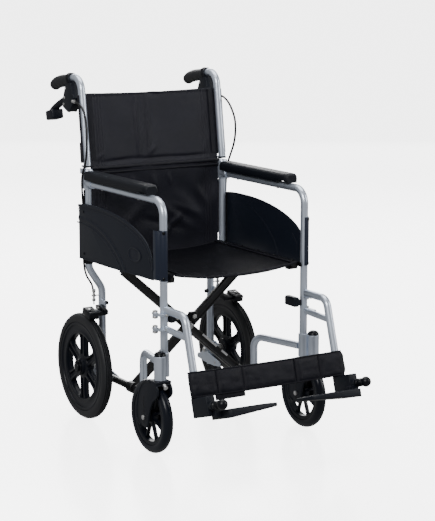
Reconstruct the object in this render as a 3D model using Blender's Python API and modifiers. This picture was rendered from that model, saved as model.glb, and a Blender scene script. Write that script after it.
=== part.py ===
"""Folding attendant wheelchair: tube side frames, scissor cross brace and slings.

Metres, +Z up. The front faces -Y and the occupant's left is +X. The origin is on the
floor under the middle of the chair. Each piece is its own object, and the pieces that
move together hang from an empty that stands on their joint's axis.
"""
import math

import bmesh
import bpy
from mathutils import Matrix, Vector

# Driving dimensions -----------------------------------------------------------------
GAP = 0.0003                # clearance between touching pieces
TUBE_R = 0.0105             # frame tube radius
BORE_R = TUBE_R + GAP
REAR_WHEEL_R = 0.1525
CASTER_R = 0.100
POST_X = 0.222              # upper tubes, from the middle plane
LOW_X = 0.181               # lower rear post and lower rail
STEM_X = 0.244              # caster stem
WHEEL_X = 0.240             # middle of the rear tyre
AXLE_Y = 0.2559             # rear axle
FRONT_Y = AXLE_Y - 0.433    # front post
STEM_Y = FRONT_Y - 0.017
CASTER_Y = STEM_Y + 0.046   # trailing caster axle
J_Y = AXLE_Y - 0.243        # where the J tube turns down
ARM_Z = 0.680               # armrest tube
JOINT_Z = 0.4645            # rear tube sits on the rear post here
FOLD_Z = 0.7215             # level where the backrest folds
FOLD_Y = AXLE_Y + 0.030     # backrest hinge, behind the tube
RAIL_Z = 0.121              # lower rail
SEAT_X = 0.196              # seat rail
SEAT_Z = 0.472
CENTRE_Z = 0.279            # centre bolt of the cross brace
ARM_A_Y = AXLE_Y - 0.180    # front cross arm
ARM_B_Y = AXLE_Y - 0.158    # rear cross arm
PIN_X = 0.241               # footrest hinge pins
PIN_Y = FRONT_Y + 0.013
HANGER_LEAN = math.radians(17)
SIDES = (("right", -1), ("left", 1))



# Collections and materials ----------------------------------------------------------
def clear_scene():
    for item in list(bpy.data.objects):
        bpy.data.objects.remove(item, do_unlink=True)


def make_collection(name):
    group = bpy.data.collections.new(name)
    bpy.context.scene.collection.children.link(group)
    return group


def make_material(name, colour, roughness, metallic=0.0):
    material = bpy.data.materials.new(name)
    material.use_nodes = True
    shader = material.node_tree.nodes["Principled BSDF"]
    shader.inputs["Base Color"].default_value = (*colour, 1.0)
    shader.inputs["Roughness"].default_value = roughness
    shader.inputs["Metallic"].default_value = metallic
    material.diffuse_color = (*colour, 1.0)
    return material


clear_scene()
PARTS = make_collection("wheelchair")
CUTTERS = make_collection("cutters")
SILVER = ("silver_tube", (0.62, 0.66, 0.70), 0.35, 0.6)
STEEL = ("steel", (0.60, 0.60, 0.60), 0.30, 1.0)
BLACK_PAINT = ("black_paint", (0.02, 0.02, 0.022), 0.40, 0.0)
BLACK_PLASTIC = ("black_plastic", (0.03, 0.03, 0.032), 0.50, 0.0)
TYRE = ("tyre_rubber", (0.05, 0.05, 0.052), 0.75, 0.0)
GRIP = ("grip_rubber", (0.035, 0.035, 0.037), 0.65, 0.0)
NYLON = ("black_nylon", (0.03, 0.03, 0.033), 0.80, 0.0)
CABLE = ("cable_jacket", (0.02, 0.02, 0.02), 0.45, 0.0)


# Shapes -----------------------------------------------------------------------------
def new_object(name, data):
    item = bpy.data.objects.new(name, data)
    PARTS.objects.link(item)
    return item


def from_bmesh(name, bm):
    mesh = bpy.data.meshes.new(name)
    bm.to_mesh(mesh)
    bm.free()
    mesh.shade_smooth()
    mesh.set_sharp_from_angle(angle=math.radians(35))
    return new_object(name, mesh)


def rod(start, end, radius, sides=16, name="rod"):
    """Cylinder between two points."""
    start, end = Vector(start), Vector(end)
    bm = bmesh.new()
    bmesh.ops.create_cone(bm, cap_ends=True, segments=sides, radius1=radius, radius2=radius,
                          depth=(end - start).length)
    turn = (end - start).to_track_quat("Z", "Y").to_matrix().to_4x4()
    bm.transform(Matrix.Translation((start + end) / 2) @ turn)
    return from_bmesh(name, bm)


def ball(centre, radius, name="ball"):
    bm = bmesh.new()
    bmesh.ops.create_uvsphere(bm, u_segments=14, v_segments=8, radius=radius)
    bm.transform(Matrix.Translation(centre))
    return from_bmesh(name, bm)


def block(low, high, turn=None, bevel=0.0, name="block"):
    """Box between two corners, turned about its middle, with rounded edges."""
    low, high = Vector(low), Vector(high)
    size = high - low
    bm = bmesh.new()
    bmesh.ops.create_cube(bm, size=1.0)
    bm.transform(Matrix.Diagonal((abs(size.x), abs(size.y), abs(size.z), 1.0)))
    bm.transform(Matrix.Translation((low + high) / 2) @ (turn or Matrix.Identity(4)))
    item = from_bmesh(name, bm)
    if bevel:
        rounding = item.modifiers.new("rounding", "BEVEL")
        rounding.width = bevel
        rounding.segments = 2
    return item


def turned(profile, centre, axis, steps, name="turned"):
    """Solid of revolution: radius and height points, spun about an axis."""
    mesh = bpy.data.meshes.new(name)
    count = len(profile)
    closed = profile[0][0] > 0 or profile[-1][0] > 0
    edges = [(i, (i + 1) % count) for i in range(count if closed else count - 1)]
    mesh.from_pydata([(r, 0.0, z) for r, z in profile], edges, [])
    turn = Vector(axis).to_track_quat("Z", "Y").to_matrix().to_4x4()
    item = new_object(name, mesh)
    item.matrix_world = Matrix.Translation(centre) @ turn
    screw = item.modifiers.new("turn", "SCREW")
    screw.steps = screw.render_steps = steps
    screw.use_merge_vertices = True
    screw.merge_threshold = 0.00001
    screw.use_smooth_shade = True
    return item


def fillet(points, radius, steps=5):
    """Polyline with its inner corners replaced by arcs."""
    points = [Vector(p) for p in points]
    path = [points[0]]
    for before, corner, after in zip(points, points[1:], points[2:]):
        back, ahead = (before - corner).normalized(), (after - corner).normalized()
        half = back.angle(ahead) / 2
        centre = corner + (back + ahead).normalized() * radius / math.sin(half)
        first = corner + back * radius / math.tan(half) - centre
        last = corner + ahead * radius / math.tan(half) - centre
        sweep = first.angle(last)
        for i in range(steps + 1):
            t = i / steps
            blend = first * math.sin((1 - t) * sweep) + last * math.sin(t * sweep)
            path.append(centre + blend / math.sin(sweep))
    path.append(points[-1])
    return path


def tube(path, radius, name="tube", detail=3):
    """Round bar along a path, as a curve with filled ends."""
    curve = bpy.data.curves.new(name, "CURVE")
    curve.dimensions = "3D"
    curve.bevel_depth = radius
    curve.bevel_resolution = detail
    curve.use_fill_caps = True
    line = curve.splines.new("POLY")
    line.points.add(len(path) - 1)
    for point, place in zip(line.points, path):
        point.co = (*place, 1.0)
    return new_object(name, curve)


PLANES = {
    "X": Matrix(((0, 0, 1, 0), (1, 0, 0, 0), (0, 1, 0, 0), (0, 0, 0, 1))),
    "Z": Matrix.Identity(4),
}


def sheet(outline, normal, low, high, name="sheet"):
    """Flat outline across one axis, as thick as low to high along it."""
    curve = bpy.data.curves.new(name, "CURVE")
    curve.dimensions = "2D"
    curve.fill_mode = "BOTH"
    curve.extrude = abs(high - low) / 2
    line = curve.splines.new("POLY")
    line.points.add(len(outline) - 1)
    for point, (u, v) in zip(line.points, outline):
        point.co = (u, v, 0.0, 1.0)
    line.use_cyclic_u = True
    item = new_object(name, curve)
    middle = Vector((0, 0, 0))
    middle["XYZ".index(normal)] = (low + high) / 2
    item.matrix_world = Matrix.Translation(middle) @ PLANES[normal]
    return as_mesh(item)


def as_mesh(item):
    """Curve object turned into a closed mesh object."""
    bpy.context.view_layer.update()
    ready = item.evaluated_get(bpy.context.evaluated_depsgraph_get())
    mesh = bpy.data.meshes.new_from_object(ready)
    bm = bmesh.new()
    bm.from_mesh(mesh)
    bmesh.ops.remove_doubles(bm, verts=bm.verts, dist=0.00001)
    bm.to_mesh(mesh)
    bm.free()
    solid = new_object(item.name + "_mesh", mesh)
    solid.matrix_world = item.matrix_world
    bpy.data.objects.remove(item, do_unlink=True)
    return solid


def combine(base, tools, operation):
    """Boolean each tool into the base, and put the tools away."""
    for tool in tools:
        step = base.modifiers.new(operation.lower(), "BOOLEAN")
        step.operation = operation
        step.object = tool
        tool.hide_render = True
        tool.display_type = "WIRE"
        PARTS.objects.unlink(tool)
        CUTTERS.objects.link(tool)
    return base


def finish(item, name, look):
    """Name a piece and give it its own material."""
    item.name = name
    item.data.name = name
    item.data.materials.clear()
    item.data.materials.append(make_material(name + "_" + look[0], *look[1:]))
    return item


def pivot(name, place, parent=None):
    """Empty on a joint's axis, which its moving pieces hang from."""
    empty = bpy.data.objects.new(name, None)
    PARTS.objects.link(empty)
    empty.empty_display_size = 0.03
    if parent:
        empty.parent = parent
        empty.matrix_parent_inverse = Matrix.Translation(place_of(parent)).inverted()
    empty.location = place
    empty["place"] = place
    return empty


def place_of(empty):
    return Vector(empty["place"])


def hang(empty, pieces):
    for piece in pieces:
        piece.parent = empty
        piece.matrix_parent_inverse = Matrix.Translation(place_of(empty)).inverted()


def arc(centre, radius, start, end, steps):
    """Points of an arc in a plane, between two angles in degrees."""
    angles = [math.radians(start + (end - start) * i / steps) for i in range(steps + 1)]
    return [(centre[0] + radius * math.cos(a), centre[1] + radius * math.sin(a)) for a in angles]


# Frame ------------------------------------------------------------------------------
LUG_LEVELS = (0.383, 0.343)   # footrest hinge plates
LUG_THICK = 0.005


def make_front_post(side, s):
    """Front post and armrest tube in one bend, with the footrest's hinge lugs and pins."""
    x = s * POST_X
    path = fillet([(x, FRONT_Y, 0.2125), (x, FRONT_Y, ARM_Z), (x, AXLE_Y - 0.016, ARM_Z)], 0.040)
    post = as_mesh(tube(path, TUBE_R))
    extras = []
    for level in LUG_LEVELS:
        top = level - LUG_THICK / 2 - GAP
        low = top - LUG_THICK
        extras.append(rod((s * PIN_X, PIN_Y, low), (s * PIN_X, PIN_Y, top), 0.0075))
        extras.append(block((x, PIN_Y - 0.008, low + 0.0004), (s * PIN_X, PIN_Y + 0.006, top - 0.0004)))
        extras.append(rod((s * PIN_X, PIN_Y, low + 0.001), (s * PIN_X, PIN_Y, level + 0.006), 0.003, 10))
    return finish(combine(post, extras, "UNION"), side + "_front_post", SILVER)


def make_rear_tube(side, s):
    """Upper rear tube with the collar that takes the armrest tube and the hinge lugs."""
    x = s * POST_X
    post = rod((x, AXLE_Y, JOINT_Z + GAP), (x, AXLE_Y, FOLD_Z - 0.0015), TUBE_R, 18)
    boss = rod((x, AXLE_Y - 0.036, ARM_Z), (x, AXLE_Y, ARM_Z), 0.0138, 20)
    collar = rod((x, AXLE_Y, 0.664), (x, AXLE_Y, FOLD_Z - 0.0020), 0.0142, 18)
    lugs = []
    for offset in (-0.0068, 0.0068):
        low, high = x + offset - 0.0022, x + offset + 0.0022
        lugs.append(block((low, AXLE_Y + 0.006, FOLD_Z - 0.018), (high, FOLD_Y, FOLD_Z - 0.0018)))
        lugs.append(rod((low - 0.0001, FOLD_Y, FOLD_Z), (high + 0.0001, FOLD_Y, FOLD_Z), 0.0062))
    pin = rod((x - 0.0115, FOLD_Y, FOLD_Z), (x + 0.0115, FOLD_Y, FOLD_Z), 0.0028, 10)
    combine(post, [boss, collar] + lugs + [pin], "UNION")
    bore = rod((x, AXLE_Y - 0.040, ARM_Z), (x, AXLE_Y - 0.0155, ARM_Z), BORE_R, 20)
    return finish(combine(post, [bore], "DIFFERENCE"), side + "_rear_tube", SILVER)


BRAKE_PIN_Y = AXLE_Y - 0.026
BRAKE_PIN_Z = 0.322


def make_rear_post(side, s):
    """Lower rear post, bent inboard, with the plate and pin that carry the brake shoe."""
    path = fillet([(s * POST_X, AXLE_Y, JOINT_Z), (s * POST_X, AXLE_Y, 0.436),
                   (s * LOW_X, AXLE_Y, 0.374), (s * LOW_X, AXLE_Y, 0.106)], 0.045, 4)
    post = as_mesh(tube(path, TUBE_R))
    inner, outer = s * (LOW_X + 0.004), s * (LOW_X + 0.009)
    plate = block((inner, BRAKE_PIN_Y - 0.010, BRAKE_PIN_Z - 0.012),
                  (outer, AXLE_Y + 0.002, BRAKE_PIN_Z + 0.024))
    pin = rod((inner, BRAKE_PIN_Y, BRAKE_PIN_Z), (s * (LOW_X + 0.028), BRAKE_PIN_Y, BRAKE_PIN_Z),
              0.004, 12)
    return finish(combine(post, [plate, pin], "UNION"), side + "_rear_post", SILVER)


def make_j_tube(side, s):
    """Tube from the caster housing back and down to the lower rail."""
    ahead = Vector((s * (LOW_X - POST_X), J_Y - FRONT_Y, 0)).normalized()
    start = Vector((s * POST_X, FRONT_Y, 0.240)) + ahead * 0.0146
    path = fillet([start, (s * LOW_X, J_Y, 0.238), (s * LOW_X, J_Y, 0.106)], 0.035)
    return finish(tube(path, TUBE_R), side + "_j_tube", SILVER)


def make_lower_rail(side, s):
    path = [(s * LOW_X, J_Y + BORE_R, RAIL_Z), (s * LOW_X, AXLE_Y - BORE_R, RAIL_Z)]
    return finish(tube(path, TUBE_R), side + "_lower_rail", BLACK_PAINT)


def make_caster_housing(side, s):
    """Stem housing welded to the sleeve on the front post's foot."""
    housing = rod((s * STEM_X, STEM_Y, 0.2088), (s * STEM_X, STEM_Y, 0.274), 0.0165, 24)
    sleeve = rod((s * POST_X, FRONT_Y, 0.2128), (s * POST_X, FRONT_Y, 0.277), 0.0136, 20)
    combine(housing, [sleeve], "UNION")
    stem_bore = rod((s * STEM_X, STEM_Y, 0.20), (s * STEM_X, STEM_Y, 0.28), 0.0084)
    post_bore = rod((s * POST_X, FRONT_Y, 0.20), (s * POST_X, FRONT_Y, 0.28), BORE_R, 20)
    combine(housing, [stem_bore, post_bore], "DIFFERENCE")
    return finish(housing, side + "_caster_housing", SILVER)


PLATE_IN = LOW_X + BORE_R
PLATE_OUT = PLATE_IN + 0.004


def make_axle_plate(side, s):
    """Plate on the rear post's foot that carries the wheel axle and a tipping stub."""
    outline = [(AXLE_Y + y, z) for y, z in (
        (-0.070, 0.104), (0.030, 0.104), (0.060, 0.122), (0.060, 0.146), (0.022, 0.172),
        (-0.020, 0.172), (-0.034, 0.138), (-0.070, 0.138))]
    plate = sheet(outline, "X", s * PLATE_IN, s * PLATE_OUT)
    hole = rod((s * 0.17, AXLE_Y, REAR_WHEEL_R), (s * 0.21, AXLE_Y, REAR_WHEEL_R), 0.0056)
    return finish(combine(plate, [hole], "DIFFERENCE"), side + "_axle_plate", SILVER)


def make_rear_axle(side, s):
    """Axle bolt with its spacer flange and end nut, turned about X."""
    profile = [(0, PLATE_IN + 0.0002), (0.0053, PLATE_IN + 0.0002), (0.0053, PLATE_OUT + GAP),
               (0.0100, PLATE_OUT + GAP), (0.0100, 0.2213), (0.0053, 0.2213), (0.0053, 0.2587),
               (0.0085, 0.2587), (0.0085, 0.2640), (0.0060, 0.2655), (0, 0.2655)]
    item = turned(profile[::-1], (0, AXLE_Y, REAR_WHEEL_R), (s, 0, 0), 16)
    return finish(item, side + "_rear_axle", STEEL)


# Wheels -----------------------------------------------------------------------------
def ring(outer, inner, width, corner):
    """Profile of a tyre or rim: square inside, rounded outside."""
    half = width / 2
    return [(inner, half), (outer - corner, half), (outer - corner * 0.3, half - corner * 0.3),
            (outer, half - corner), (outer, corner - half), (outer - corner * 0.3, corner * 0.3 - half),
            (outer - corner, -half), (inner, -half)]


def band(outer, inner, width):
    """Square profile of a rim."""
    return [(inner, width / 2), (outer, width / 2), (outer, -width / 2), (inner, -width / 2)]


def make_wheel(name, s, centre, rim, hub, spokes, steps):
    """Moulded wheel: rim, hub and flat spokes joined, with the axle bore through."""
    rim_out, rim_in, rim_width = rim
    hub_r, hub_width, bore = hub
    spoke_count, spoke_wide, spoke_thick = spokes
    centre = Vector(centre)
    body = turned(band(rim_out, rim_in, rim_width), centre, (s, 0, 0), steps)
    half = Vector((hub_width / 2, 0, 0))
    tools = [rod(centre - half, centre + half, hub_r)]
    for i in range(spoke_count):
        bar = block((-spoke_thick / 2, -spoke_wide / 2, hub_r * 0.5),
                    (spoke_thick / 2, spoke_wide / 2, rim_in + 0.002))
        turn = Matrix.Rotation(math.tau * i / spoke_count, 4, "X")
        bar.data.transform(Matrix.Translation(centre) @ turn)
        tools.append(bar)
    combine(body, tools, "UNION")
    combine(body, [rod(centre - 2 * half, centre + 2 * half, bore)], "DIFFERENCE")
    return finish(body, name, BLACK_PLASTIC)


def make_rear_wheel(side, s):
    centre = (s * WHEEL_X, AXLE_Y, REAR_WHEEL_R)
    tyre = turned(ring(REAR_WHEEL_R, 0.1300, 0.031, 0.011), centre, (s, 0, 0), 36)
    wheel = make_wheel(side + "_rear_wheel", s, centre, (0.1297, 0.116, 0.024),
                       (0.020, 0.0366, 0.0057), (6, 0.016, 0.012), 36)
    return finish(tyre, side + "_rear_tyre", TYRE), wheel


def make_caster(side, s):
    """Fork with its stem and axle, wheel and tyre."""
    centre = Vector((s * STEM_X, CASTER_Y, CASTER_R))
    tyre = turned(ring(CASTER_R, 0.0780, 0.028, 0.010), centre, (s, 0, 0), 32)
    wheel = make_wheel(side + "_caster_wheel", s, centre, (0.0777, 0.067, 0.022),
                       (0.014, 0.0350, 0.0053), (6, 0.008, 0.009), 32)
    fork = rod((s * STEM_X, STEM_Y, 0.204), (s * STEM_X, STEM_Y, 0.2735), 0.0080, 16)
    crown = sheet([(s * STEM_X + u, STEM_Y + v) for u, v in (
        (-0.0255, -0.018), (-0.018, -0.025), (0.018, -0.025), (0.0255, -0.018),
        (0.0255, 0.026), (-0.0255, 0.026))], "Z", 0.2025, 0.2083)
    legs = []
    for offset in (-1, 1):
        near, far = s * STEM_X + offset * 0.0185, s * STEM_X + offset * 0.0250
        outline = [(STEM_Y - 0.024, 0.2075), (STEM_Y - 0.022, 0.165),
                   (CASTER_Y - 0.012, 0.098)]
        outline += arc((CASTER_Y, CASTER_R), 0.014, 200, 360, 6)
        outline += [(CASTER_Y + 0.012, 0.150), (STEM_Y + 0.026, 0.2075)]
        legs.append(sheet(outline, "X", near, far))
    axle = rod(centre - Vector((0.030, 0, 0)), centre + Vector((0.030, 0, 0)), 0.005, 12)
    combine(fork, [crown] + legs + [axle], "UNION")
    return (finish(fork, side + "_caster_fork", BLACK_PLASTIC), wheel,
            finish(tyre, side + "_caster_tyre", TYRE))


# Backrest, handles and brakes -------------------------------------------------------
BACK_CORNER = Vector((0, AXLE_Y + 0.0363, 0.983))
GRIP_TILT = math.radians(16.4)
GRIP_DIR = Vector((0, math.cos(GRIP_TILT), -math.sin(GRIP_TILT)))


def handle_point(s, along, below=0.0):
    """Point on the push handle's axis, measured from its corner."""
    down = Vector((0, -math.sin(GRIP_TILT), -math.cos(GRIP_TILT)))
    return Vector((s * POST_X, 0, 0)) + BACK_CORNER + GRIP_DIR * along + down * below


def make_back_tube(side, s):
    """Folding back tube, bent into the push handle, with its hinge lug."""
    x = s * POST_X
    foot = (x, AXLE_Y, FOLD_Z + 0.0008)
    path = fillet([foot, handle_point(s, 0), handle_point(s, 0.157)], 0.040, 7)
    post = as_mesh(tube(path, TUBE_R))
    lug = block((x - 0.0038, AXLE_Y + 0.006, FOLD_Z + GAP), (x + 0.0038, FOLD_Y, FOLD_Z + 0.0062))
    knuckle = rod((x - 0.0039, FOLD_Y, FOLD_Z), (x + 0.0039, FOLD_Y, FOLD_Z), 0.0064)
    combine(post, [lug, knuckle], "UNION")
    bore = rod((x - 0.01, FOLD_Y, FOLD_Z), (x + 0.01, FOLD_Y, FOLD_Z), 0.0031, 10)
    return finish(combine(post, [bore], "DIFFERENCE"), side + "_back_tube", SILVER)


def make_push_grip(side, s):
    """Rubber grip: a turned sleeve with a closed, rounded end."""
    profile = [(0, 0.118), (0.010, 0.1165), (0.0155, 0.111), (0.0172, 0.102), (0.0160, 0.080),
               (0.0158, 0.016), (0.0185, 0.012), (0.0185, 0.002), (0.0165, 0.0), (BORE_R, 0.0),
               (BORE_R, 0.100), (0, 0.100)]
    grip = turned(profile, handle_point(s, 0.060), GRIP_DIR, 20)
    return finish(grip, side + "_push_grip", GRIP)


LEVER_PIN = handle_point(1, 0.088, 0.052)


def make_lever_mount(side, s):
    """Brake lever housing, clamped round the handle ahead of the grip."""
    x = s * POST_X
    tilt = Matrix.Rotation(math.radians(-8), 4, "X")
    body = block((x - 0.013, LEVER_PIN.y - 0.045, LEVER_PIN.z - 0.024),
                 (x + 0.013, LEVER_PIN.y + 0.004, LEVER_PIN.z + 0.022), tilt, 0.004)
    neck = block((x - 0.0095, LEVER_PIN.y - 0.038, LEVER_PIN.z + 0.005),
                 (x + 0.0095, LEVER_PIN.y - 0.0225, LEVER_PIN.z + 0.052), tilt)
    clamp = rod(handle_point(s, 0.0475), handle_point(s, 0.0585), 0.0150, 20)
    barrel = rod((x + s * 0.0104, LEVER_PIN.y - 0.055, LEVER_PIN.z - 0.004),
                 (x + s * 0.0095, LEVER_PIN.y - 0.038, LEVER_PIN.z - 0.002), 0.005, 12)
    combine(body, [neck, clamp, barrel], "UNION")
    slot = block((x - 0.0075, LEVER_PIN.y - 0.010, LEVER_PIN.z - 0.035),
                 (x + 0.0075, LEVER_PIN.y + 0.012, LEVER_PIN.z + 0.012))
    bore = rod(handle_point(s, 0.045), handle_point(s, 0.070), BORE_R, 18)
    return finish(combine(body, [slot, bore], "DIFFERENCE"), side + "_lever_mount", BLACK_PLASTIC)


def make_brake_lever(side, s):
    """Lever blade that hangs below the grip, with its wide finger pad."""
    x = s * POST_X
    start = LEVER_PIN + Vector((0, -0.004, -0.004))
    bend = LEVER_PIN + Vector((0, 0.100, -0.032))
    end = LEVER_PIN + Vector((0, 0.125, -0.051))
    outline = [(start.y, start.z + 0.008), (start.y + 0.010, start.z + 0.012),
               (bend.y + 0.004, bend.z + 0.008), (end.y, end.z), (end.y - 0.012, end.z - 0.002),
               (bend.y - 0.008, bend.z - 0.010), (start.y + 0.002, start.z - 0.008)]
    blade = sheet(outline, "X", x - 0.006, x + 0.006)
    pad = block((x - 0.014, end.y - 0.056, end.z - 0.006), (x + 0.014, end.y - 0.002, end.z + 0.008),
                Matrix.Rotation(math.radians(-12), 4, "X"), 0.003)
    return finish(combine(blade, [pad], "UNION"), side + "_brake_lever", BLACK_PLASTIC)


CABLE_R = 0.0022
CABLE_ROUTE = (   # across, behind the rear axle, up
    (0.2324, LEVER_PIN.y - AXLE_Y - 0.0560, LEVER_PIN.z - 0.0040), (0.2368, 0.028, 0.903),
    (0.2374, 0.010, 0.898), (0.2380, -0.010, 0.886), (0.2400, -0.026, 0.866),
    (0.2425, -0.038, 0.838), (0.2430, -0.040, 0.803), (0.2415, -0.034, 0.768),
    (0.2390, -0.020, 0.736), (0.2395, -0.004, 0.708), (0.2395, 0.002, 0.680),
    (0.2370, 0.004, 0.640), (0.2355, 0.004, 0.600), (0.2355, 0.004, 0.480),
    (0.2357, 0.003, 0.447), (0.2290, 0.002, 0.415), (0.2135, 0.001, 0.388),
    (0.2068, 0.001, 0.362))


def make_brake_cable(side, s):
    """Brake cable from the lever down the frame to the shoe, with its adjuster barrel."""
    path = [(s * x, AXLE_Y + y, z) for x, y, z in CABLE_ROUTE]
    cable = as_mesh(tube(path, CABLE_R, detail=2))
    barrel = rod((s * 0.2068, AXLE_Y + 0.001, 0.372), (s * 0.2068, AXLE_Y + 0.001, 0.340), 0.004, 10)
    return finish(combine(cable, [barrel], "UNION"), side + "_brake_cable", CABLE)


SHOE_ANGLE = math.radians(15)


def make_brake_shoe(side, s):
    """Rocker on the post's pin: cable end behind, shoe block over the tyre in front."""
    turn = Matrix.Rotation(SHOE_ANGLE, 4, "X")
    reach = REAR_WHEEL_R + 0.005 + 0.010
    middle = Vector((s * WHEEL_X, AXLE_Y - reach * math.sin(SHOE_ANGLE),
                     REAR_WHEEL_R + reach * math.cos(SHOE_ANGLE)))
    half = Vector((0.015, 0.024, 0.010))
    shoe = block(middle - half, middle + half, turn, 0.002)
    inner, outer = s * (LOW_X + 0.0105), s * (LOW_X + 0.0245)
    outline = [(AXLE_Y - 0.004, BRAKE_PIN_Z + 0.006), (AXLE_Y - 0.006, BRAKE_PIN_Z - 0.007),
               (BRAKE_PIN_Y, BRAKE_PIN_Z - 0.009), (middle.y - 0.016, middle.z - 0.006),
               (middle.y - 0.016, middle.z + 0.006), (BRAKE_PIN_Y, BRAKE_PIN_Z + 0.009)]
    rocker = sheet(outline, "X", inner, outer)
    bridge = block((s * (LOW_X + 0.012), middle.y - 0.014, middle.z - 0.005),
                   (s * (WHEEL_X - 0.002), middle.y + 0.014, middle.z + 0.005), turn)
    combine(shoe, [bridge, rocker], "UNION")
    bore = rod((s * 0.18, BRAKE_PIN_Y, BRAKE_PIN_Z), (s * 0.22, BRAKE_PIN_Y, BRAKE_PIN_Z), 0.0043, 12)
    return finish(combine(shoe, [bore], "DIFFERENCE"), side + "_brake_shoe", BLACK_PLASTIC)


LOCK_PIN = (AXLE_Y + 0.022, 0.752)


def make_lock_lever(side, s):
    """Release lever of the folding backrest, behind the tube."""
    x = s * POST_X
    outline = [(AXLE_Y + y, z) for y, z in (
        (0.0190, 0.735), (0.0290, 0.733), (0.0320, 0.752), (0.0350, 0.790), (0.0300, 0.792),
        (0.0210, 0.762))]
    return finish(sheet(outline, "X", x - 0.007, x + 0.007), side + "_lock_lever", BLACK_PLASTIC)


# Seat, arms and footrests -----------------------------------------------------------
def make_arm_pad(side, s):
    x = s * POST_X
    low, high = (x - 0.0215, AXLE_Y - 0.372, 0.6912), (x + 0.0215, AXLE_Y - 0.0148, 0.7165)
    pad = block(low, high, None, 0.006)
    relief = rod((x, AXLE_Y - 0.037, ARM_Z), (x, AXLE_Y, ARM_Z), 0.0142, 20)
    return finish(combine(pad, [relief], "DIFFERENCE"), side + "_arm_pad", BLACK_PLASTIC)


GUARD_IN = 0.2388
GUARD_OUT = 0.2418


def make_skirt_guard(side, s):
    """Side panel below the armrest, outside the tubes, stepped in front to clip the post."""
    outline = [(AXLE_Y + y, z) for y, z in (
        (0.020, 0.463), (0.020, 0.617), (-0.040, 0.624), (-0.130, 0.624), (-0.210, 0.618),
        (-0.280, 0.606), (-0.340, 0.589), (-0.385, 0.567), (-0.408, 0.546), (-0.412, 0.604),
        (-0.445, 0.605), (-0.445, 0.470), (-0.380, 0.468), (-0.160, 0.464))]
    return finish(sheet(outline, "X", s * GUARD_IN, s * GUARD_OUT), side + "_skirt_guard",
                  BLACK_PLASTIC)


def make_rail_cradle(side, s):
    """Open-topped cradle inside the front post that the seat rail drops into."""
    near, far = s * (POST_X - BORE_R), s * (SEAT_X - 0.0150)
    body = block((far, FRONT_Y + 0.004, 0.452), (near, FRONT_Y + 0.034, 0.480))
    groove = rod((s * SEAT_X, FRONT_Y - 0.02, SEAT_Z), (s * SEAT_X, FRONT_Y + 0.06, SEAT_Z), BORE_R, 20)
    way_up = block((s * (SEAT_X - BORE_R), FRONT_Y - 0.02, SEAT_Z),
                   (s * (SEAT_X + BORE_R), FRONT_Y + 0.06, 0.50))
    return finish(combine(body, [groove, way_up], "DIFFERENCE"), side + "_rail_cradle", BLACK_PLASTIC)


HANGER_TOP = Vector((0, AXLE_Y - 0.543, 0.394))
HANGER_DOWN = Vector((0, -math.sin(HANGER_LEAN), -math.cos(HANGER_LEAN)))
HANGER_AHEAD = Vector((0, -math.cos(HANGER_LEAN), math.sin(HANGER_LEAN)))
HANGER_LONG = 0.214


def make_hanger(side, s):
    """Footrest hanger: bent tube, strut and the two plates that turn on the post's pins."""
    x = s * POST_X
    shift = Vector((x, 0, 0))
    bar_y = FRONT_Y - 0.0145
    path = fillet([(x, bar_y, HANGER_TOP.z), shift + HANGER_TOP,
                   shift + HANGER_TOP + HANGER_DOWN * HANGER_LONG], 0.030)
    body = as_mesh(tube(path, TUBE_R))
    strut_end = HANGER_DOWN * ((HANGER_TOP.z - LUG_LEVELS[1] + 0.004) / math.cos(HANGER_LEAN))
    tools = [rod((x, bar_y, LUG_LEVELS[1]), shift + HANGER_TOP + strut_end, 0.0085)]
    for level in LUG_LEVELS:
        outline = [(s * (PIN_X + 0.0075), PIN_Y + 0.006), (s * (PIN_X + 0.0075), bar_y - 0.010),
                   (x - s * 0.009, bar_y - 0.010), (x - s * 0.009, bar_y + 0.0012),
                   (s * (PIN_X - 0.0055), bar_y + 0.0012), (s * (PIN_X - 0.0055), PIN_Y + 0.006)]
        tools.append(sheet(outline, "Z", level - LUG_THICK / 2, level + LUG_THICK / 2))
    combine(body, tools, "UNION")
    bore = rod((s * PIN_X, PIN_Y, 0.30), (s * PIN_X, PIN_Y, 0.45), 0.0033, 10)
    return finish(combine(body, [bore], "DIFFERENCE"), side + "_hanger", SILVER)


FOOT_AXIS = Vector((0, AXLE_Y - 0.638, 0.176))   # on the footplate's hinge, inside the heel block
HEEL_HALF = 0.040
PLATE_TURN = Matrix.Rotation(-HANGER_LEAN, 4, "X")


def make_heel_block(side, s):
    """Black block on the hanger's foot with the round hinge pin of the footplate."""
    shift = Vector((s * POST_X, 0, 0))
    centre = shift + FOOT_AXIS
    half = Vector((0.0135, HEEL_HALF, 0.0260))
    body = block(centre - half, centre + half, PLATE_TURN, 0.003)
    pin = rod(centre, centre + HANGER_AHEAD * 0.092, 0.0050, 12)
    knob = rod(centre + HANGER_AHEAD * 0.0575, centre + HANGER_AHEAD * 0.080, 0.0110)
    end = ball(centre + HANGER_AHEAD * 0.095, 0.0140)
    combine(body, [pin, knob, end], "UNION")
    socket = rod(shift + HANGER_TOP, shift + HANGER_TOP + HANGER_DOWN * (HANGER_LONG + GAP), BORE_R)
    return finish(combine(body, [socket], "DIFFERENCE"), side + "_heel_block", BLACK_PLASTIC)


PLATE_START = 0.0165     # plate edges, inboard of the hinge
PLATE_END = 0.1660
PLATE_BACK = 0.002       # plate edges, ahead of the hinge's middle
PLATE_FRONT = 0.098


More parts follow.
